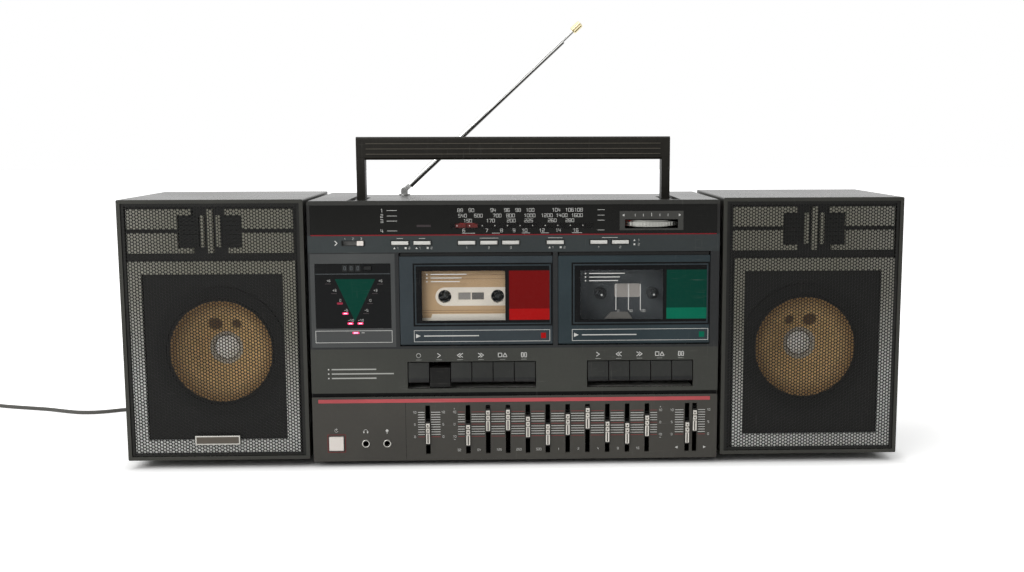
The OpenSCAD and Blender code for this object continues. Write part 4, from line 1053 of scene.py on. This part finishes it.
@dataclass
class Dial:
    """The dial with its scales, the tuning plate and the switch strip below."""

    scale_height: float = 2.5
    red_line: Span = (-161.4, 161.4, 187.9, 188.7)
    rows: tuple[tuple[float, str, tuple[float, ...]], ...] = (
        (207.8, "88 90 94 96 98 100 104 106 108", (-43.1, -34.2, -16.9, -6, 2.8, 12.3, 33.1, 43.6, 50.8)),
        (203.5, "540 600 700 800 1000 1200 1400 1600", (-41.3, -28.7, -13.8, -3.2, 11.9, 25.6, 37.4, 49.6)),
        (199.5, "150 170 200 225 260 280", (-37.2, -19.1, -2.7, 11.2, 29.9, 43.9)),
        (191.7, "6 7 8 9 10 12 14 16", (-40.4, -22.2, -10.4, -0.5, 7.8, 21.6, 34.7, 48.5)),
    )
    dashes: tuple[Flat, ...] = ((-41.8, -31.5), (-18, -11.7), (5.8, 12.2), (20.9, 27.3), (45.6, 53.6))
    plate_rise: float = 0.35
    plate_marks: tuple[float, ...] = (96, 102.5, 109.1, 115.7, 122.2)
    buttons: tuple[float, ...] = (-91, -73.5, -38.2, -20.6, -3.2, 32.2, 67, 84.2)
    button_signs: str = "  123 12"
    strip_rules: tuple[Flat, ...] = ((-93.5, -88.5), (-76, -71), (-28, -13), (26.5, 38), (69.5, 82))

    def scales(self) -> None:
        """Prints the scales' numbers, dots and rules."""
        lines = [disc(-45.7 + 10 * k, 195.5, 0.42, 10) for k in range(11)]
        lines += [rect(*ends, 189.45, 189.75) for ends in self.dashes]
        for k, (z, words, places) in enumerate(self.rows):
            for text, x in zip(words.split(), places):
                lines += number(text, x, z, self.scale_height, 1.35)
            lines += number(str(k + 1), -105, z, self.scale_height, 1.5)
            lines += [rect(x0, x1, z - 0.15, z + 0.15) for x0, x1 in ((-101, -93), (66, 71.5))]
        Shape(lines).piece("dial_scales", INK_WHITE, "smoked_window")
        Shape([rect(*self.red_line)]).piece("dial_red_line", INK_RED, "smoked_window")
        lamp = rounded(-77.6, -66.4, 194.7, 196.4, 0.4)
        Shape([lamp]).piece("stereo_lamp", LAMP_OFF, "smoked_window", edge=0.03)

    def tuning_plate(self) -> None:
        """Makes the plate round the tuning wheel's slot, with its two arrows."""
        plate = border(rect(83.6, 134.6, 191.4, 206.6), rect(87.9, 130.3, 192.8, 200))
        Shape(plate, 0, self.plate_rise).piece("tuning_plate", TUNING_PLATE, "housing", edge=0.1)
        marks = [[(85.6, 203.4), (87.4, 202.3), (87.4, 204.5)], [(132.6, 203.4), (130.8, 204.5), (130.8, 202.3)]]
        for k, x in enumerate(self.plate_marks):
            marks.append(rect(x - 0.2, x + 0.2, 202.4, 205.2 if k == 2 else 204.4))
        Shape(marks, -self.plate_rise).piece("tuning_marks", INK_WHITE, "housing")

    def strip(self) -> None:
        """Prints the marks of the switch strip: rules over the buttons, and their signs below."""
        marks = stroke([(-142.4, 183.8), (-140.6, 182.1), (-142.4, 180.4)], 0.7)
        for text, x in zip("123", (-134.4, -128, -121.6)):
            marks += number(text, x, 185.6, 1.5, 1.3)
        marks += [rect(*ends, 185.5, 185.8) for ends in self.strip_rules]
        for text, x in zip(self.button_signs, self.buttons):
            if text == " ":
                marks += [[(x - 5.4, 177.3), (x - 3.6, 177.3), (x - 4.5, 178.8)], rect(x + 3.6, x + 5.2, 177.3, 178.8)]
                marks += number("1", x - 1.8, 178, 1.6, 1.3) + number("2", x + 7.4, 178, 1.6, 1.3)
            else:
                marks += number(text, x, 178, 1.7, 1.3)
        marks += [[(94.6, 182.8), (96.4, 182.8), (95.5, 184.3)], rect(94.8, 96.2, 179.4, 180.8)]
        marks += number("1", 99, 183.5, 1.7, 1.3) + number("2", 99, 180.1, 1.7, 1.3)
        Shape(marks).piece("strip_marks", INK_WHITE, "housing")
        collars = edging(-137.4, -118.7, 179.9, 184.3, 0.6)
        for x in self.buttons:
            collars += edging(x - 7.5, x + 7.5, 180, 184.2, 0.55)
        Shape(collars, 0, 0.25).piece("strip_collars", DARK, "housing", edge=0.08)

    def build(self) -> None:
        """Builds the dial and the strip."""
        finish_nodes(DIAL_GLASS, "dial_window")
        finish_nodes(POINTER_PAINTED_GLOW, "dial_pointer")
        finish_nodes(WHEEL, "tuning_wheel")
        self.scales()
        self.tuning_plate()
        self.strip()
        gap = Shape([rect(-38.6, -37.8, 193.85, 196.95)], 2, 0.05)
        gap.piece("pointer_gap", INK_BLACK, "pointer_red", "dial_pointer")
        buttons = "band mode radio tape line dubbing play_select record_select".split()
        finish_nodes(SILVER, *(name + "_button" for name in buttons))
        finish_nodes(WHITE, "band_switch")
        curtain = Shape([rounded(-139.5, -104.5, 179.3, 184.9, 0.5)], 3.5, 0.2)
        curtain.piece("band_curtain", CURTAIN, "white_button", "band_switch", edge=0.05)


@dataclass
class LevelMeter:
    """The level meter: counter, green triangle, two rows of lamps and the legend frame."""

    lamps: tuple[Flat, ...] = (
        (-148.6, 149.8), (-144.1, 142.1), (-139.6, 134.1), (-135.4, 126), (-131.6, 117.9),
        (-107.5, 149.5), (-111.6, 141.9), (-115.8, 133.9), (-119.1, 125.9), (-123.7, 117.9),
    )
    lit: tuple[int, ...] = (3, 4, 9)
    dim: int = 2
    half: float = 2.3
    high: float = 0.8
    off_high: float = 0.35
    marks: tuple[str, ...] = ("+6", "+3", "0", "-5", "-10")
    drums: tuple[float, ...] = (-135.2, -130, -124.8)

    def lights(self) -> None:
        """Makes the lamps, lit, dim or off as the photograph shows."""
        lit, cores = [rounded(-130.2, -124.8, 109.5, 111.1, 0.5)], [rounded(-129.3, -125.7, 109.9, 110.7, 0.3)]
        dim, off = [], []
        for k, (x, z) in enumerate(self.lamps):
            target = lit if k in self.lit else dim if k == self.dim else off
            tall = self.off_high if target is off else self.high
            target.append(rounded(x - self.half, x + self.half, z - tall, z + tall, min(0.5, tall * 0.8)))
            if target is lit:
                cores.append(rounded(x - self.half + 0.9, x + self.half - 0.9, z - 0.4, z + 0.4, 0.3))
        Shape(lit, 0, 0.25).piece("meter_lamps_lit", LAMP_LIT, "smoked_window", edge=0.05)
        Shape(cores, -0.25, 0.1).piece("meter_lamp_cores", LAMP_CORE, "smoked_window")
        Shape(dim, 0, 0.25).piece("meter_lamp_dim", LAMP_DIM, "smoked_window", edge=0.05)
        Shape(off, 0, 0.25).piece("meter_lamps_off", LAMP_OFF, "smoked_window", edge=0.05)

    def prints(self) -> None:
        """Prints the triangle, the marks, the counter's numbers and the legend frame."""
        green = Shape([[(-128, 119.6), (-111.2, 153.6), (-143.2, 153.6)]])
        green.piece("meter_triangle", GREEN_BLOCK, "smoked_window")
        marks = edging(-159.6, -98.5, 102.3, 112.1, 0.35) + [rect(-123, -120.6, 110.1, 110.5)]
        for (x, z), text in zip(self.lamps, self.marks * 2):
            marks += number(text, x + 0.4, z + 2.5, 1.7, 1.3)
        Shape(marks).piece("meter_marks", INK_WHITE, "smoked_window")
        grey = Shape([rect(-158.6, -99.4, 157.5, 157.8)])
        for x in self.drums:
            grey.plates(number("0", x, 162.2, 2.6, 1.1), -0.16)
        grey.piece("counter_numbers", INK_GREY, "smoked_window")
        drums = Shape([rounded(x - 2, x + 2, 159.6, 164.8, 0.5) for x in self.drums], 0, 0.16)
        drums.piece("counter_drums", DARK, "smoked_window", edge=0.05)

    def build(self) -> None:
        """Builds the meter."""
        finish_nodes(METER_GLASS, "meter_window")
        finish_nodes(DARK, "counter_reset_button")
        self.lights()
        self.prints()


@dataclass
class CassetteDoor:
    """A cassette door: pane border, coloured blocks and the legend frame."""

    side: Side
    start: float
    block: Flat
    legend: Flat
    square: Flat
    films: tuple[Finish, Finish]
    scale: tuple[tuple[float, str], ...] = ()
    block_z: Flat = (119.9, 159.6)
    band_top: float = 128.9

    def marks(self) -> list[Outline]:
        """Gives the print: the legend frame with its arrow, three rules, and the scale where there is one."""
        left = self.legend[0]
        made = edging(*self.legend, 102.5, 111.9, 0.35)
        made += [[(left + 1.6, 105.6), (left + 5.4, 107.3), (left + 1.6, 109)], rect(left + 8, left + 52, 106.9, 107.7)]
        for z, end in ((156.9, 53.4), (154, 49.4), (151.1, 47.9)):
            made.append(disc(self.start + 21.8, z, 0.6, 10))
            made.append(rect(self.start + 24.8, self.start + end, z - 0.35, z + 0.35))
        for x, text in self.scale:
            made += [rect(x - 0.3, x + 0.3, 127.2, 148.3), *number(text, x + 2, 126.6, 1.7, 1.2)]
        return made

    def build(self) -> None:
        """Dresses the door."""
        body = self.side.value + "_door"
        finish_nodes(DOORS[self.side], self.side.value + "_cassette_door")
        (x0, x1), (z0, z1) = (self.start + 11.8, self.start + 120.7), PANE_Z
        film_block, film_band = self.films
        for name, finish, outlines, y, thick, edge in (
            ("pane_line", DOOR_LINE, edging(x0 + 0.1, x1 - 0.1, z0 + 0.1, z1 - 0.1, 1.1), 0, INK, 0),
            ("pane_groove", INK_BLACK, edging(x0 - 1.2, x1 + 1.1, z0 - 1.2, z1 + 1.2, 1.3), 0, 0.03, 0),
            ("block", film_block, [rect(*self.block, self.band_top, self.block_z[1])], 0, INK, 0),
            ("band", film_band, [rect(*self.block, self.block_z[0], self.band_top)], 0, INK, 0),
            ("marks", INK_WHITE, self.marks(), 0, INK, 0),
            # painted shade: a black strip along the door's top fills the gap under the switch strip
            ("shade_lip", DARK, [rect(self.start + 0.6, self.start + 121.3, 170.4, 173.9)], 2.6, 0.9, 0.15),
            ("square", film_band, [rect(*self.square, 104.9, 109.3)], 0, INK, 0),
        ):
            Shape(outlines, y, thick).piece(f"{body}_{name}", finish, "door_plastic", body, edge)


@dataclass
class Tape:
    """The cassette in the left door: paper label, hubs and the little window."""

    x: float = -35.25
    hub_z: float = 138.3
    pitch: float = 42.5
    face: float = 6.45
    label_half: float = 46
    bow: float = 7.5

    def piece(self, shape: Shape, name: str, finish: Finish, edge: float = 0) -> None:
        """Makes one piece of the cassette."""
        shape.piece("tape_" + name, finish, "cassette_shell", "left_door", edge)

    def build(self) -> None:
        """Dresses the cassette."""
        finish_nodes(CASSETTE, "cassette")
        x, z, half = self.x, self.hub_z, self.pitch / 2
        left, right = x - self.label_half, x + self.label_half
        turns = [math.radians(90 + 15 * k) for k in range(13)]
        bow = [(x - half + self.bow * math.cos(a), z - 0.1 + self.bow * math.sin(a)) for a in turns]
        label = [rect(left, right, z + 7.4, z + 24), rect(left, right, z - 17.2, z - 7.6)]
        label.append([(left, z + 7.4), *bow, (left, z - 7.6)])
        self.piece(Shape(label, self.face), "label", LABEL)
        teeth, rings = [], Shape()
        for hub in (x - half, x + half):
            for a in (math.pi * k / 3 + 0.3 for k in range(6)):
                teeth += stroke([(hub + r * math.cos(a), z + r * math.sin(a)) for r in (3.7, 5.3)], 0.8)
            rings.lathe([(5.3, -0.1), (6.2, -0.1), (6.2, 0.05), (5.3, 0.05)], (hub, self.face, z), 28, True)
        self.piece(Shape(teeth, self.face + 1.2), "hub_teeth", TAPE_DARK)
        self.piece(rings, "hub_rings", CASSETTE)
        rules = [bar(x, z + dz, 40, 0.12) for dz in (20.6, 17.4, 14.2, -11.2, -13)]
        self.piece(Shape(rules, self.face - INK, 0.03), "rules", INK_LABEL)
        for name, x0, x1, finish in (("left", -10.2, -0.5, TAPE_PALE), ("right", 0.5, 10.2, TAPE_DARK)):
            window = Shape([rect(x + x0, x + x1, z - 2.6, z + 3)], self.face + 0.8, 0.1)
            self.piece(window, "window_" + name, finish, 0.03)


@dataclass
class DeckInside:
    """What shows behind the empty right door: the chassis and its pale card."""

    plate_y: float = 24.1
    card: Span = (81.7, 102.7, 134.8, 146)

    def build(self) -> None:
        """Dresses the deck."""
        finish_nodes(DECK, "deck_mechanism")
        Shape([rounded(*self.card, 1.2)], self.plate_y, 0.4).piece("deck_card", BEIGE, "deck_plastic", edge=0.1)


@dataclass
class KeyRow:
    """The keys under the decks and their signs on the housing."""

    sign_z: float = 91.4
    line: float = 0.56
    left: tuple[float, ...] = (-77.9, -61.5, -44.7, -27.8, -10.5, 6.8)
    right: tuple[float, ...] = (66.6, 83.4, 100.2, 116.5, 133.9)
    wells: tuple[Flat, ...] = ((-86.8, 16.3), (57.8, 143.8))
    legend: tuple[Flat, ...] = ((80.6, -112), (77, -98), (73.4, -112))

    def sign(self, kind: str, x: float) -> list[Outline]:
        """Gives one sign.

        Args:
            kind: What the key does.
            x: The sign's middle.

        Returns:
            One outline for each straight part.
        """
        z = self.sign_z
        arrows = {"play": ((0, 1),), "rewind": ((-1, -1), (1, -1)), "forward": ((-1, 1), (1, 1))}.get(kind, ())
        loops = {
            "record": [disc(x, z, 1.7, 16)],
            "stop": [
                rect(x - 3.4, x - 0.5, z - 1.5, z + 1.5), [(x + 0.3, z - 1.5), (x + 3.7, z - 1.5), (x + 2, z + 1.6)],
            ],
            "pause": [bar(x + dx, z, 0.75, 1.7) for dx in (-1.3, 1.3)],
        }.get(kind, [])
        made = [part for loop in loops for part in stroke(loop, self.line, True)]
        for dx, turn in arrows:
            tail, tip = x + dx - turn * 1.2, x + dx + turn * 1.2
            made += stroke([(tail, z + 1.6), (tip, z), (tail, z - 1.6)], self.line)
        return made

    def build(self) -> None:
        """Dresses the keys and prints their signs."""
        kinds = ("record", "play", "rewind", "forward", "stop", "pause")
        signs, rules = [], []
        for side, names, places in ((Side.LEFT, kinds, self.left), (Side.RIGHT, kinds[1:], self.right)):
            for kind, x in zip(names, places):
                signs += self.sign(kind, x)
                rules.append(rect(x - 2.2, x + 2.2, 87.7, 88))
                # the pressed key takes the darker copy: painted shade
                down = side is Side.LEFT and kind == "play"
                finish_nodes(KEY_DOWN_SHADED if down else KEYS, f"{side.value}_{kind}_key")
        for z, end in self.legend:
            signs.append(bar(-150.1, z, 0.5, 0.5))
            rules.append(rect(-147.6, end, z - 0.5, z + 0.5))
        wells = Shape([rect(*ends, 63.2, 64) for ends in self.wells], 36, 32.7)
        wells.piece("key_wells", KEY_WELL, "housing", edge=0.1)
        Shape(signs).piece("key_signs", INK_WHITE, "housing")
        Shape(rules).piece("key_rules", INK_PALE, "housing")


@dataclass
class Equaliser:
    """The lower panel: slider scales, red bar, power button and jacks."""

    slots: tuple[float, ...] = tuple(-38.8 + 16.16 * k for k in range(10))
    bands: str = "32 64 125 250 500 1 2 4 8 16"
    top: float = 44.9
    step: float = 2.03
    clear: float = 2.7
    side_lines: tuple[Flat, ...] = ((-79.2, -73.9), (-68.7, -61.2), (129.6, 136.6), (148.4, 154.2))
    number_z: Point = (44.9, 34.8, 24.7)
    jacks: Flat = (-121.6, -104.4)
    jack_z: float = 19.5
    power_x: float = -145.2

    def lines(self) -> None:
        """Prints the scales' lines, broken at the slots."""
        white, red = [], []
        ends = [-47, *(s + d for s in self.slots for d in (-self.clear, self.clear)), 115]
        for k in range(11):
            z = self.top - self.step * k
            target, beside = red if k % 5 == 0 else white, red if k == 10 else white
            target += [rect(x0, x1, z - 0.2, z + 0.2) for x0, x1 in zip(ends[::2], ends[1::2])]
            beside += [rect(x0, x1, z - 0.22, z + 0.22) for x0, x1 in self.side_lines]
        for texts, places in ((("10", "0", "10"), (-49.8, 117.6)), (("10", "5", "0"), (-81.9, -58.9, 127, 157))):
            for x in places:
                for text, z in zip(texts, self.number_z):
                    white += number(text, x, z, 1.7, 1.2)
        for x in (-49.8, 117.6):
            white += [*number("+", x, 47.6, 1.5, 1.2), rect(x - 0.7, x + 0.7, 22, 22.3)]
        for x, text in zip(self.slots, self.bands.split()):
            white += number(text, x - 7.4, 13.4, 1.7, 1.25)
        for x, turn in ((131, -1), (154, 1)):
            white.append([(x - turn, 14.8), (x - turn, 12.6), (x + turn * 1.2, 13.7)][::-turn])
        Shape(white).piece("slider_lines", INK_WHITE, "housing")
        Shape(red).piece("slider_red_lines", INK_DULL_RED, "housing")

    def panel(self) -> None:
        """Makes the red bar, the power outline, the seam, a black plate in the groove above the panel as painted shade,
        and the jack rings.
        """
        Shape([rounded(-159, 158, 53, 56, 0.3)], 0, 0.15).piece("red_bar", RED_BAR, "housing", edge=0.04)
        Shape(edging(-152.4, -137.9, 12.5, 27.2, 0.35)).piece("power_outline", INK_RED, "housing")
        seam = Shape([rect(-89.25, -89, 6, 52.6)], 0, 0.02)
        # painted shade: a black plate in the groove above the panel
        seam.plates([rect(-163.6, 163.6, 58.1, 60.9)], 1.6, 0.05)
        seam.piece("panel_seam_and_shade", INK_BLACK, "housing")
        rings, washers = Shape(), Shape()
        ring = [(2.3, -0.86), (2.6, -1), (3, -0.95), (3.35, -0.6), (3.35, -0.02), (2.3, -0.02)]
        for x in self.jacks:
            rings.lathe(ring, (x, 0, self.jack_z), 32, True)
            washers.lathe([(1.75, -0.83), (2.4, -0.87), (2.4, -0.78), (1.75, -0.78)], (x, 0, self.jack_z), 28, True)
        rings.piece("jack_rings", BRIGHT, "bright_metal", smooth=True)
        washers.piece("jack_washers", INK_BLACK, "bright_metal")
        (phones, mic), power = self.jacks, self.power_x
        marks = stroke(disc(phones, 29.6, 1.5, 14)[:8], 0.35)
        marks += [rounded(phones + dx - 0.5, phones + dx + 0.5, 28.2, 29.8, 0.25) for dx in (-1.5, 1.5)]
        marks += [disc(mic, 30, 1.1, 14), *stroke([(mic, 29.4), (mic, 27.7)], 0.5)]
        marks += stroke(disc(power, 30.4, 1.3, 16)[2:], 0.35) + stroke([(power, 30.6), (power, 32.2)], 0.35)
        Shape(marks).piece("panel_marks", INK_WHITE, "housing")

    def grooves(self, node: str) -> None:
        """Marks a slider's face with painted shade: a dark dot in each of its two grips, and grooves below."""
        x, _, z = ((a + b) / 2 for a, b in zip(*span(node)))
        shape = Shape([disc(x, z + rise, 0.66, 12) for rise in (2.4, 6.4)], -2.9, 0.13)
        shape.plates([bar(x, z + rise, 1.5, 0.25) for rise in (0.1, 4.4)], -2, 0.06)
        shape.plates([rect(x - 0.5, x + 0.5, z - 8.2, z - 0.7)], -2, 0.04)
        shape.piece(node + "_groove_shades", SLIDER_GROOVE_SHADE, "slider_metal", node)

    def build(self) -> None:
        """Dresses the sliders and the panel."""
        names = ["mic_slider", "left_volume_slider", "right_volume_slider"]
        names += [f"eq_slider_{k + 1}" for k in range(len(self.slots))]
        for name in names:
            finish_nodes(SLIDER, name)
            self.grooves(name)
        finish_nodes(WHITE, "power_button")
        self.lines()
        self.panel()


@dataclass
class Loudspeaker:
    """A loudspeaker: cabinet, unit, foil on the baffle and the perforated grille.

    Places across are those of the left loudspeaker, and shift is the way from there to this one.
    """

    side: Side
    foil_left: float
    shift: float
    pitch: float = 2.65
    hole: float = 1.05
    sheet: float = 0.4
    plain: float = 0.25
    least: float = 0.05
    baffle: float = 6
    foil_rise: float = 3.2
    rows: tuple[tuple[Flat, ...], ...] = (
        ((-306, 193.7), (-266, 193.7), (-266, 204.5), (-255, 204.5), (-255, 209.3), (-306, 209.3)),
        ((-306, 174.6), (-254, 174.6), (-254, 178.6), (-266, 178.6), (-266, 190.5), (-306, 190.5)),
        ((-215.5, 193.7), (-175.5, 193.7), (-175.5, 209.3), (-228.5, 209.3), (-228.5, 204.5), (-215.5, 204.5)),
        ((-226.5, 174.6), (-175.5, 174.6), (-175.5, 190.5), (-215.5, 190.5), (-215.5, 178.6), (-226.5, 178.6)),
    )
    bars: tuple[Span, ...] = (
        (-248.3, -245.2, 179.3, 204.4), (-242.6, -238.2, 174.6, 209.3), (-235.8, -232.7, 179.3, 204.4),
    )
    horns: tuple[Flat, ...] = ((-265.5, -249.6), (-231.4, -216))

    def grille(self) -> None:
        """Makes the perforated sheet: a cell round each hole, and plain cells cut off at the edges."""
        node = self.side.value + "_speaker_grille"
        (x0, front, z0), (x1, _, z1) = span(node)
        back, edge = front + self.sheet, self.hole + self.plain
        step = self.pitch * math.sqrt(3) / 2
        rows, columns = (int((z1 - z0) / self.pitch) + 3) // 2, (int((x1 - x0) / step) + 3) // 2
        hexagon, hole = disc(0, 0, self.pitch / math.sqrt(3), 6), disc(0, 0, self.hole, 12)
        turns = [(k, (k + 1) % 12) for k in range(12)]
        faces = [(k, m, 12 + m, 12 + k) for k, m in turns] + [(12 + k, 12 + m, 24 + m, 24 + k) for k, m in turns]
        shape = Shape()
        for row in range(-rows, rows + 1):
            for column in range(-columns, columns + 1):
                cx, cz = (x0 + x1) / 2 + step * column, (z0 + z1) / 2 + self.pitch * (row + 0.5 * (column % 2))
                rim = [(min(max(cx + u, x0), x1), min(max(cz + w, z0), z1)) for u, w in hexagon]
                if any(max(line) - min(line) < self.least for line in zip(*rim)):
                    continue
                if not (x0 + edge < cx < x1 - edge and z0 + edge < cz < z1 - edge):
                    shape.add([(x, front, z) for x, z in rim], [(0, 1, 2, 3, 4, 5)])
                    continue
                points = []
                for (ax, az), (bx, bz) in zip(rim, rim[1:] + rim[:1]):
                    points += [(ax, front, az), ((ax + bx) / 2, front, (az + bz) / 2)]
                shape.add(points + [(cx + u, y, cz + w) for y in (front, back) for u, w in hole], faces)
        corners = rect(x0, x1, z0, z1)
        for (ax, az), (bx, bz) in zip(corners, corners[1:] + corners[:1]):
            shape.add([(ax, front, az), (bx, front, bz), (bx, back, bz), (ax, back, az)], [(0, 1, 2, 3)])
        body = self.side.value + "_speaker"
        made = shape.piece(self.side.value + "_grille_sheet", GRILLE, "grille_metal", body)
        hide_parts(node)

    def foil(self) -> None:
        """Raises the silver-foiled frame from the baffle, with the rows above it, the three bars and the horns."""
        body = self.side.value + "_speaker"
        frames = border(rect(self.foil_left, -174.5, 13, 168), rect(-296.3, -184.7, 23.2, 157.8))
        foil = [*frames, *self.rows, *(rect(*b) for b in self.bars)]
        blocks = [rect(*ends, 179.6 + 3.5 * k, 182.2 + 3.5 * k) for ends in self.horns for k in range(7)]
        foil, blocks = ([[(x + self.shift, z) for x, z in o] for o in outlines] for outlines in (foil, blocks))
        Shape(foil, self.baffle, self.foil_rise).piece(body + "_foil", FOIL, "bright_metal", body, edge=0.08)
        Shape(blocks, self.baffle, 1.6).piece(body + "_horn_blocks", DARK, "cabinet", body, edge=0.2)

    def badge(self) -> None:
        """Fixes the bare plate at the bottom of the left grille."""
        front = span("left_speaker_grille")[0][1]
        plate = Shape([rect(-258.6, -222.7, 19.7, 27.1)], front, 0.7)
        plate.piece("grille_plate", BRIGHT, "bright_metal", "left_speaker", edge=0.2)
        inner = Shape([rect(-257.6, -223.7, 20.7, 26.1)], front - 0.7, 0.06)
        inner.piece("grille_plate_field", PLATE_FIELD, "bright_metal", "left_speaker")

    def build(self) -> None:
        """Builds the loudspeaker."""
        finish_nodes(CABINET, self.side.value + "_speaker_cabinet")
        finish_nodes(CONE, self.side.value + "_woofer")
        self.grille()
        self.foil()
        if self.side is Side.LEFT:
            self.badge()


@dataclass
class Housing:
    """The housing, the handle, the aerial and the details of the back."""

    screw: float = 3
    slot_half: float = 0.35
    rear_screws: tuple[Flat, ...] = ((-150, 108), (150, 108), (-150, 196), (150, 196), (0, 196), (150, 24))
    ribs: int = 9

    def screws(self, name: str, body: str, places: Iterable[Flat], y: float) -> None:
        """Sets cross-head screws into the back.

        Args:
            name: The pieces' name.
            body: The body that carries them.
            places: Their middles in x and z.
            y: The face that they sit on.
        """
        heads, slots = Shape(), []
        r, a, b = self.screw, self.screw * 0.62, self.slot_half
        profile = [(0, 0.9), (r * 0.6, 0.75), (r * 0.95, 0.3), (r, 0), (r, -0.02), (0, -0.02)]
        for x, z in places:
            heads.lathe(profile, (x, y, z), 20)
            slots += [bar(x, z, a, b), bar(x, z, b, a)]
        heads.piece(name + "_screws", BRIGHT, "bright_metal", body, smooth=True)
        Shape(slots, y + 0.78, 0.1, Facing.BACK).piece(name + "_screw_slots", INK_BLACK, "bright_metal", body)

    def back(self) -> None:
        """Dresses the back: screws and the cover's ribs."""
        self.screws("rear_case", "main_unit", self.rear_screws, span("rear_case")[1][1])
        (x0, _, z0), (x1, depth, z1) = span("battery_cover")
        middles = [x0 + 24 + k * (x1 - x0 - 48) / (self.ribs - 1) for k in range(self.ribs)]
        ribs = Shape([rounded(x - 9, x + 9, z0 + 12, z1 - 14, 2) for x in middles], depth, 0.5, Facing.BACK)
        ribs.piece("battery_cover_ribs", HOUSING_REAR, "housing", "battery_cover", edge=0.2)
        for side in Side:
            (x0, _, z0), (x1, depth, z1) = span(side.value + "_speaker_cabinet")
            places = rect(x0 + 12, x1 - 12, z0 + 14, z1 - 14)
            self.screws(side.value + "_cabinet", side.value + "_speaker", places, depth)

    def build(self) -> None:
        """Dresses the housing and what stands on it."""
        finish_nodes(HOUSING_FRONT, "front_case")
        finish_nodes(HOUSING_REAR, "rear_case", "battery_cover")
        finish_nodes(HANDLE, "handle")
        finish_nodes(AERIAL, "aerial_swivel", "aerial_tube", "aerial_rod")
        # painted highlights along the tops of the handle's ribs
        edges = [rect(-122.4, 122.4, 250.9 + 4.3 * k, 251.36 + 4.3 * k) for k in range(3)]
        Shape(edges, span("handle")[0][1], 0.04).piece("handle_rib_highlights", HANDLE_RIB_HIGHLIGHT, "handle_plastic", "handle")
        self.back()


def main() -> None:
    """Builds the scene in order."""
    logging.basicConfig(level=logging.INFO, format="%(message)s")
    studio = Studio()
    studio.camera()
    for part in (
        MainsLead(), Housing(), Dial(), LevelMeter(),
        CassetteDoor(Side.LEFT, -92, (-4.8, 27.6), (-81.2, 27.9), (20.6, 24.6), (RED_BLOCK, RED_BAND)),
        CassetteDoor(
            Side.RIGHT, 34.6, (121.7, 154.2), (45.6, 155.7), (148.2, 152.6), (GREEN_BLOCK, GREEN_BAND),
            ((80.9, "0"), (91, "50"), (100.6, "100")),
        ),
        Tape(), DeckInside(), KeyRow(), Equaliser(),
        Loudspeaker(Side.LEFT, -306.5, 0), Loudspeaker(Side.RIGHT, -304.5, 481.5), studio,
    ):
        part.build()


if __name__ == "__main__":
    main()
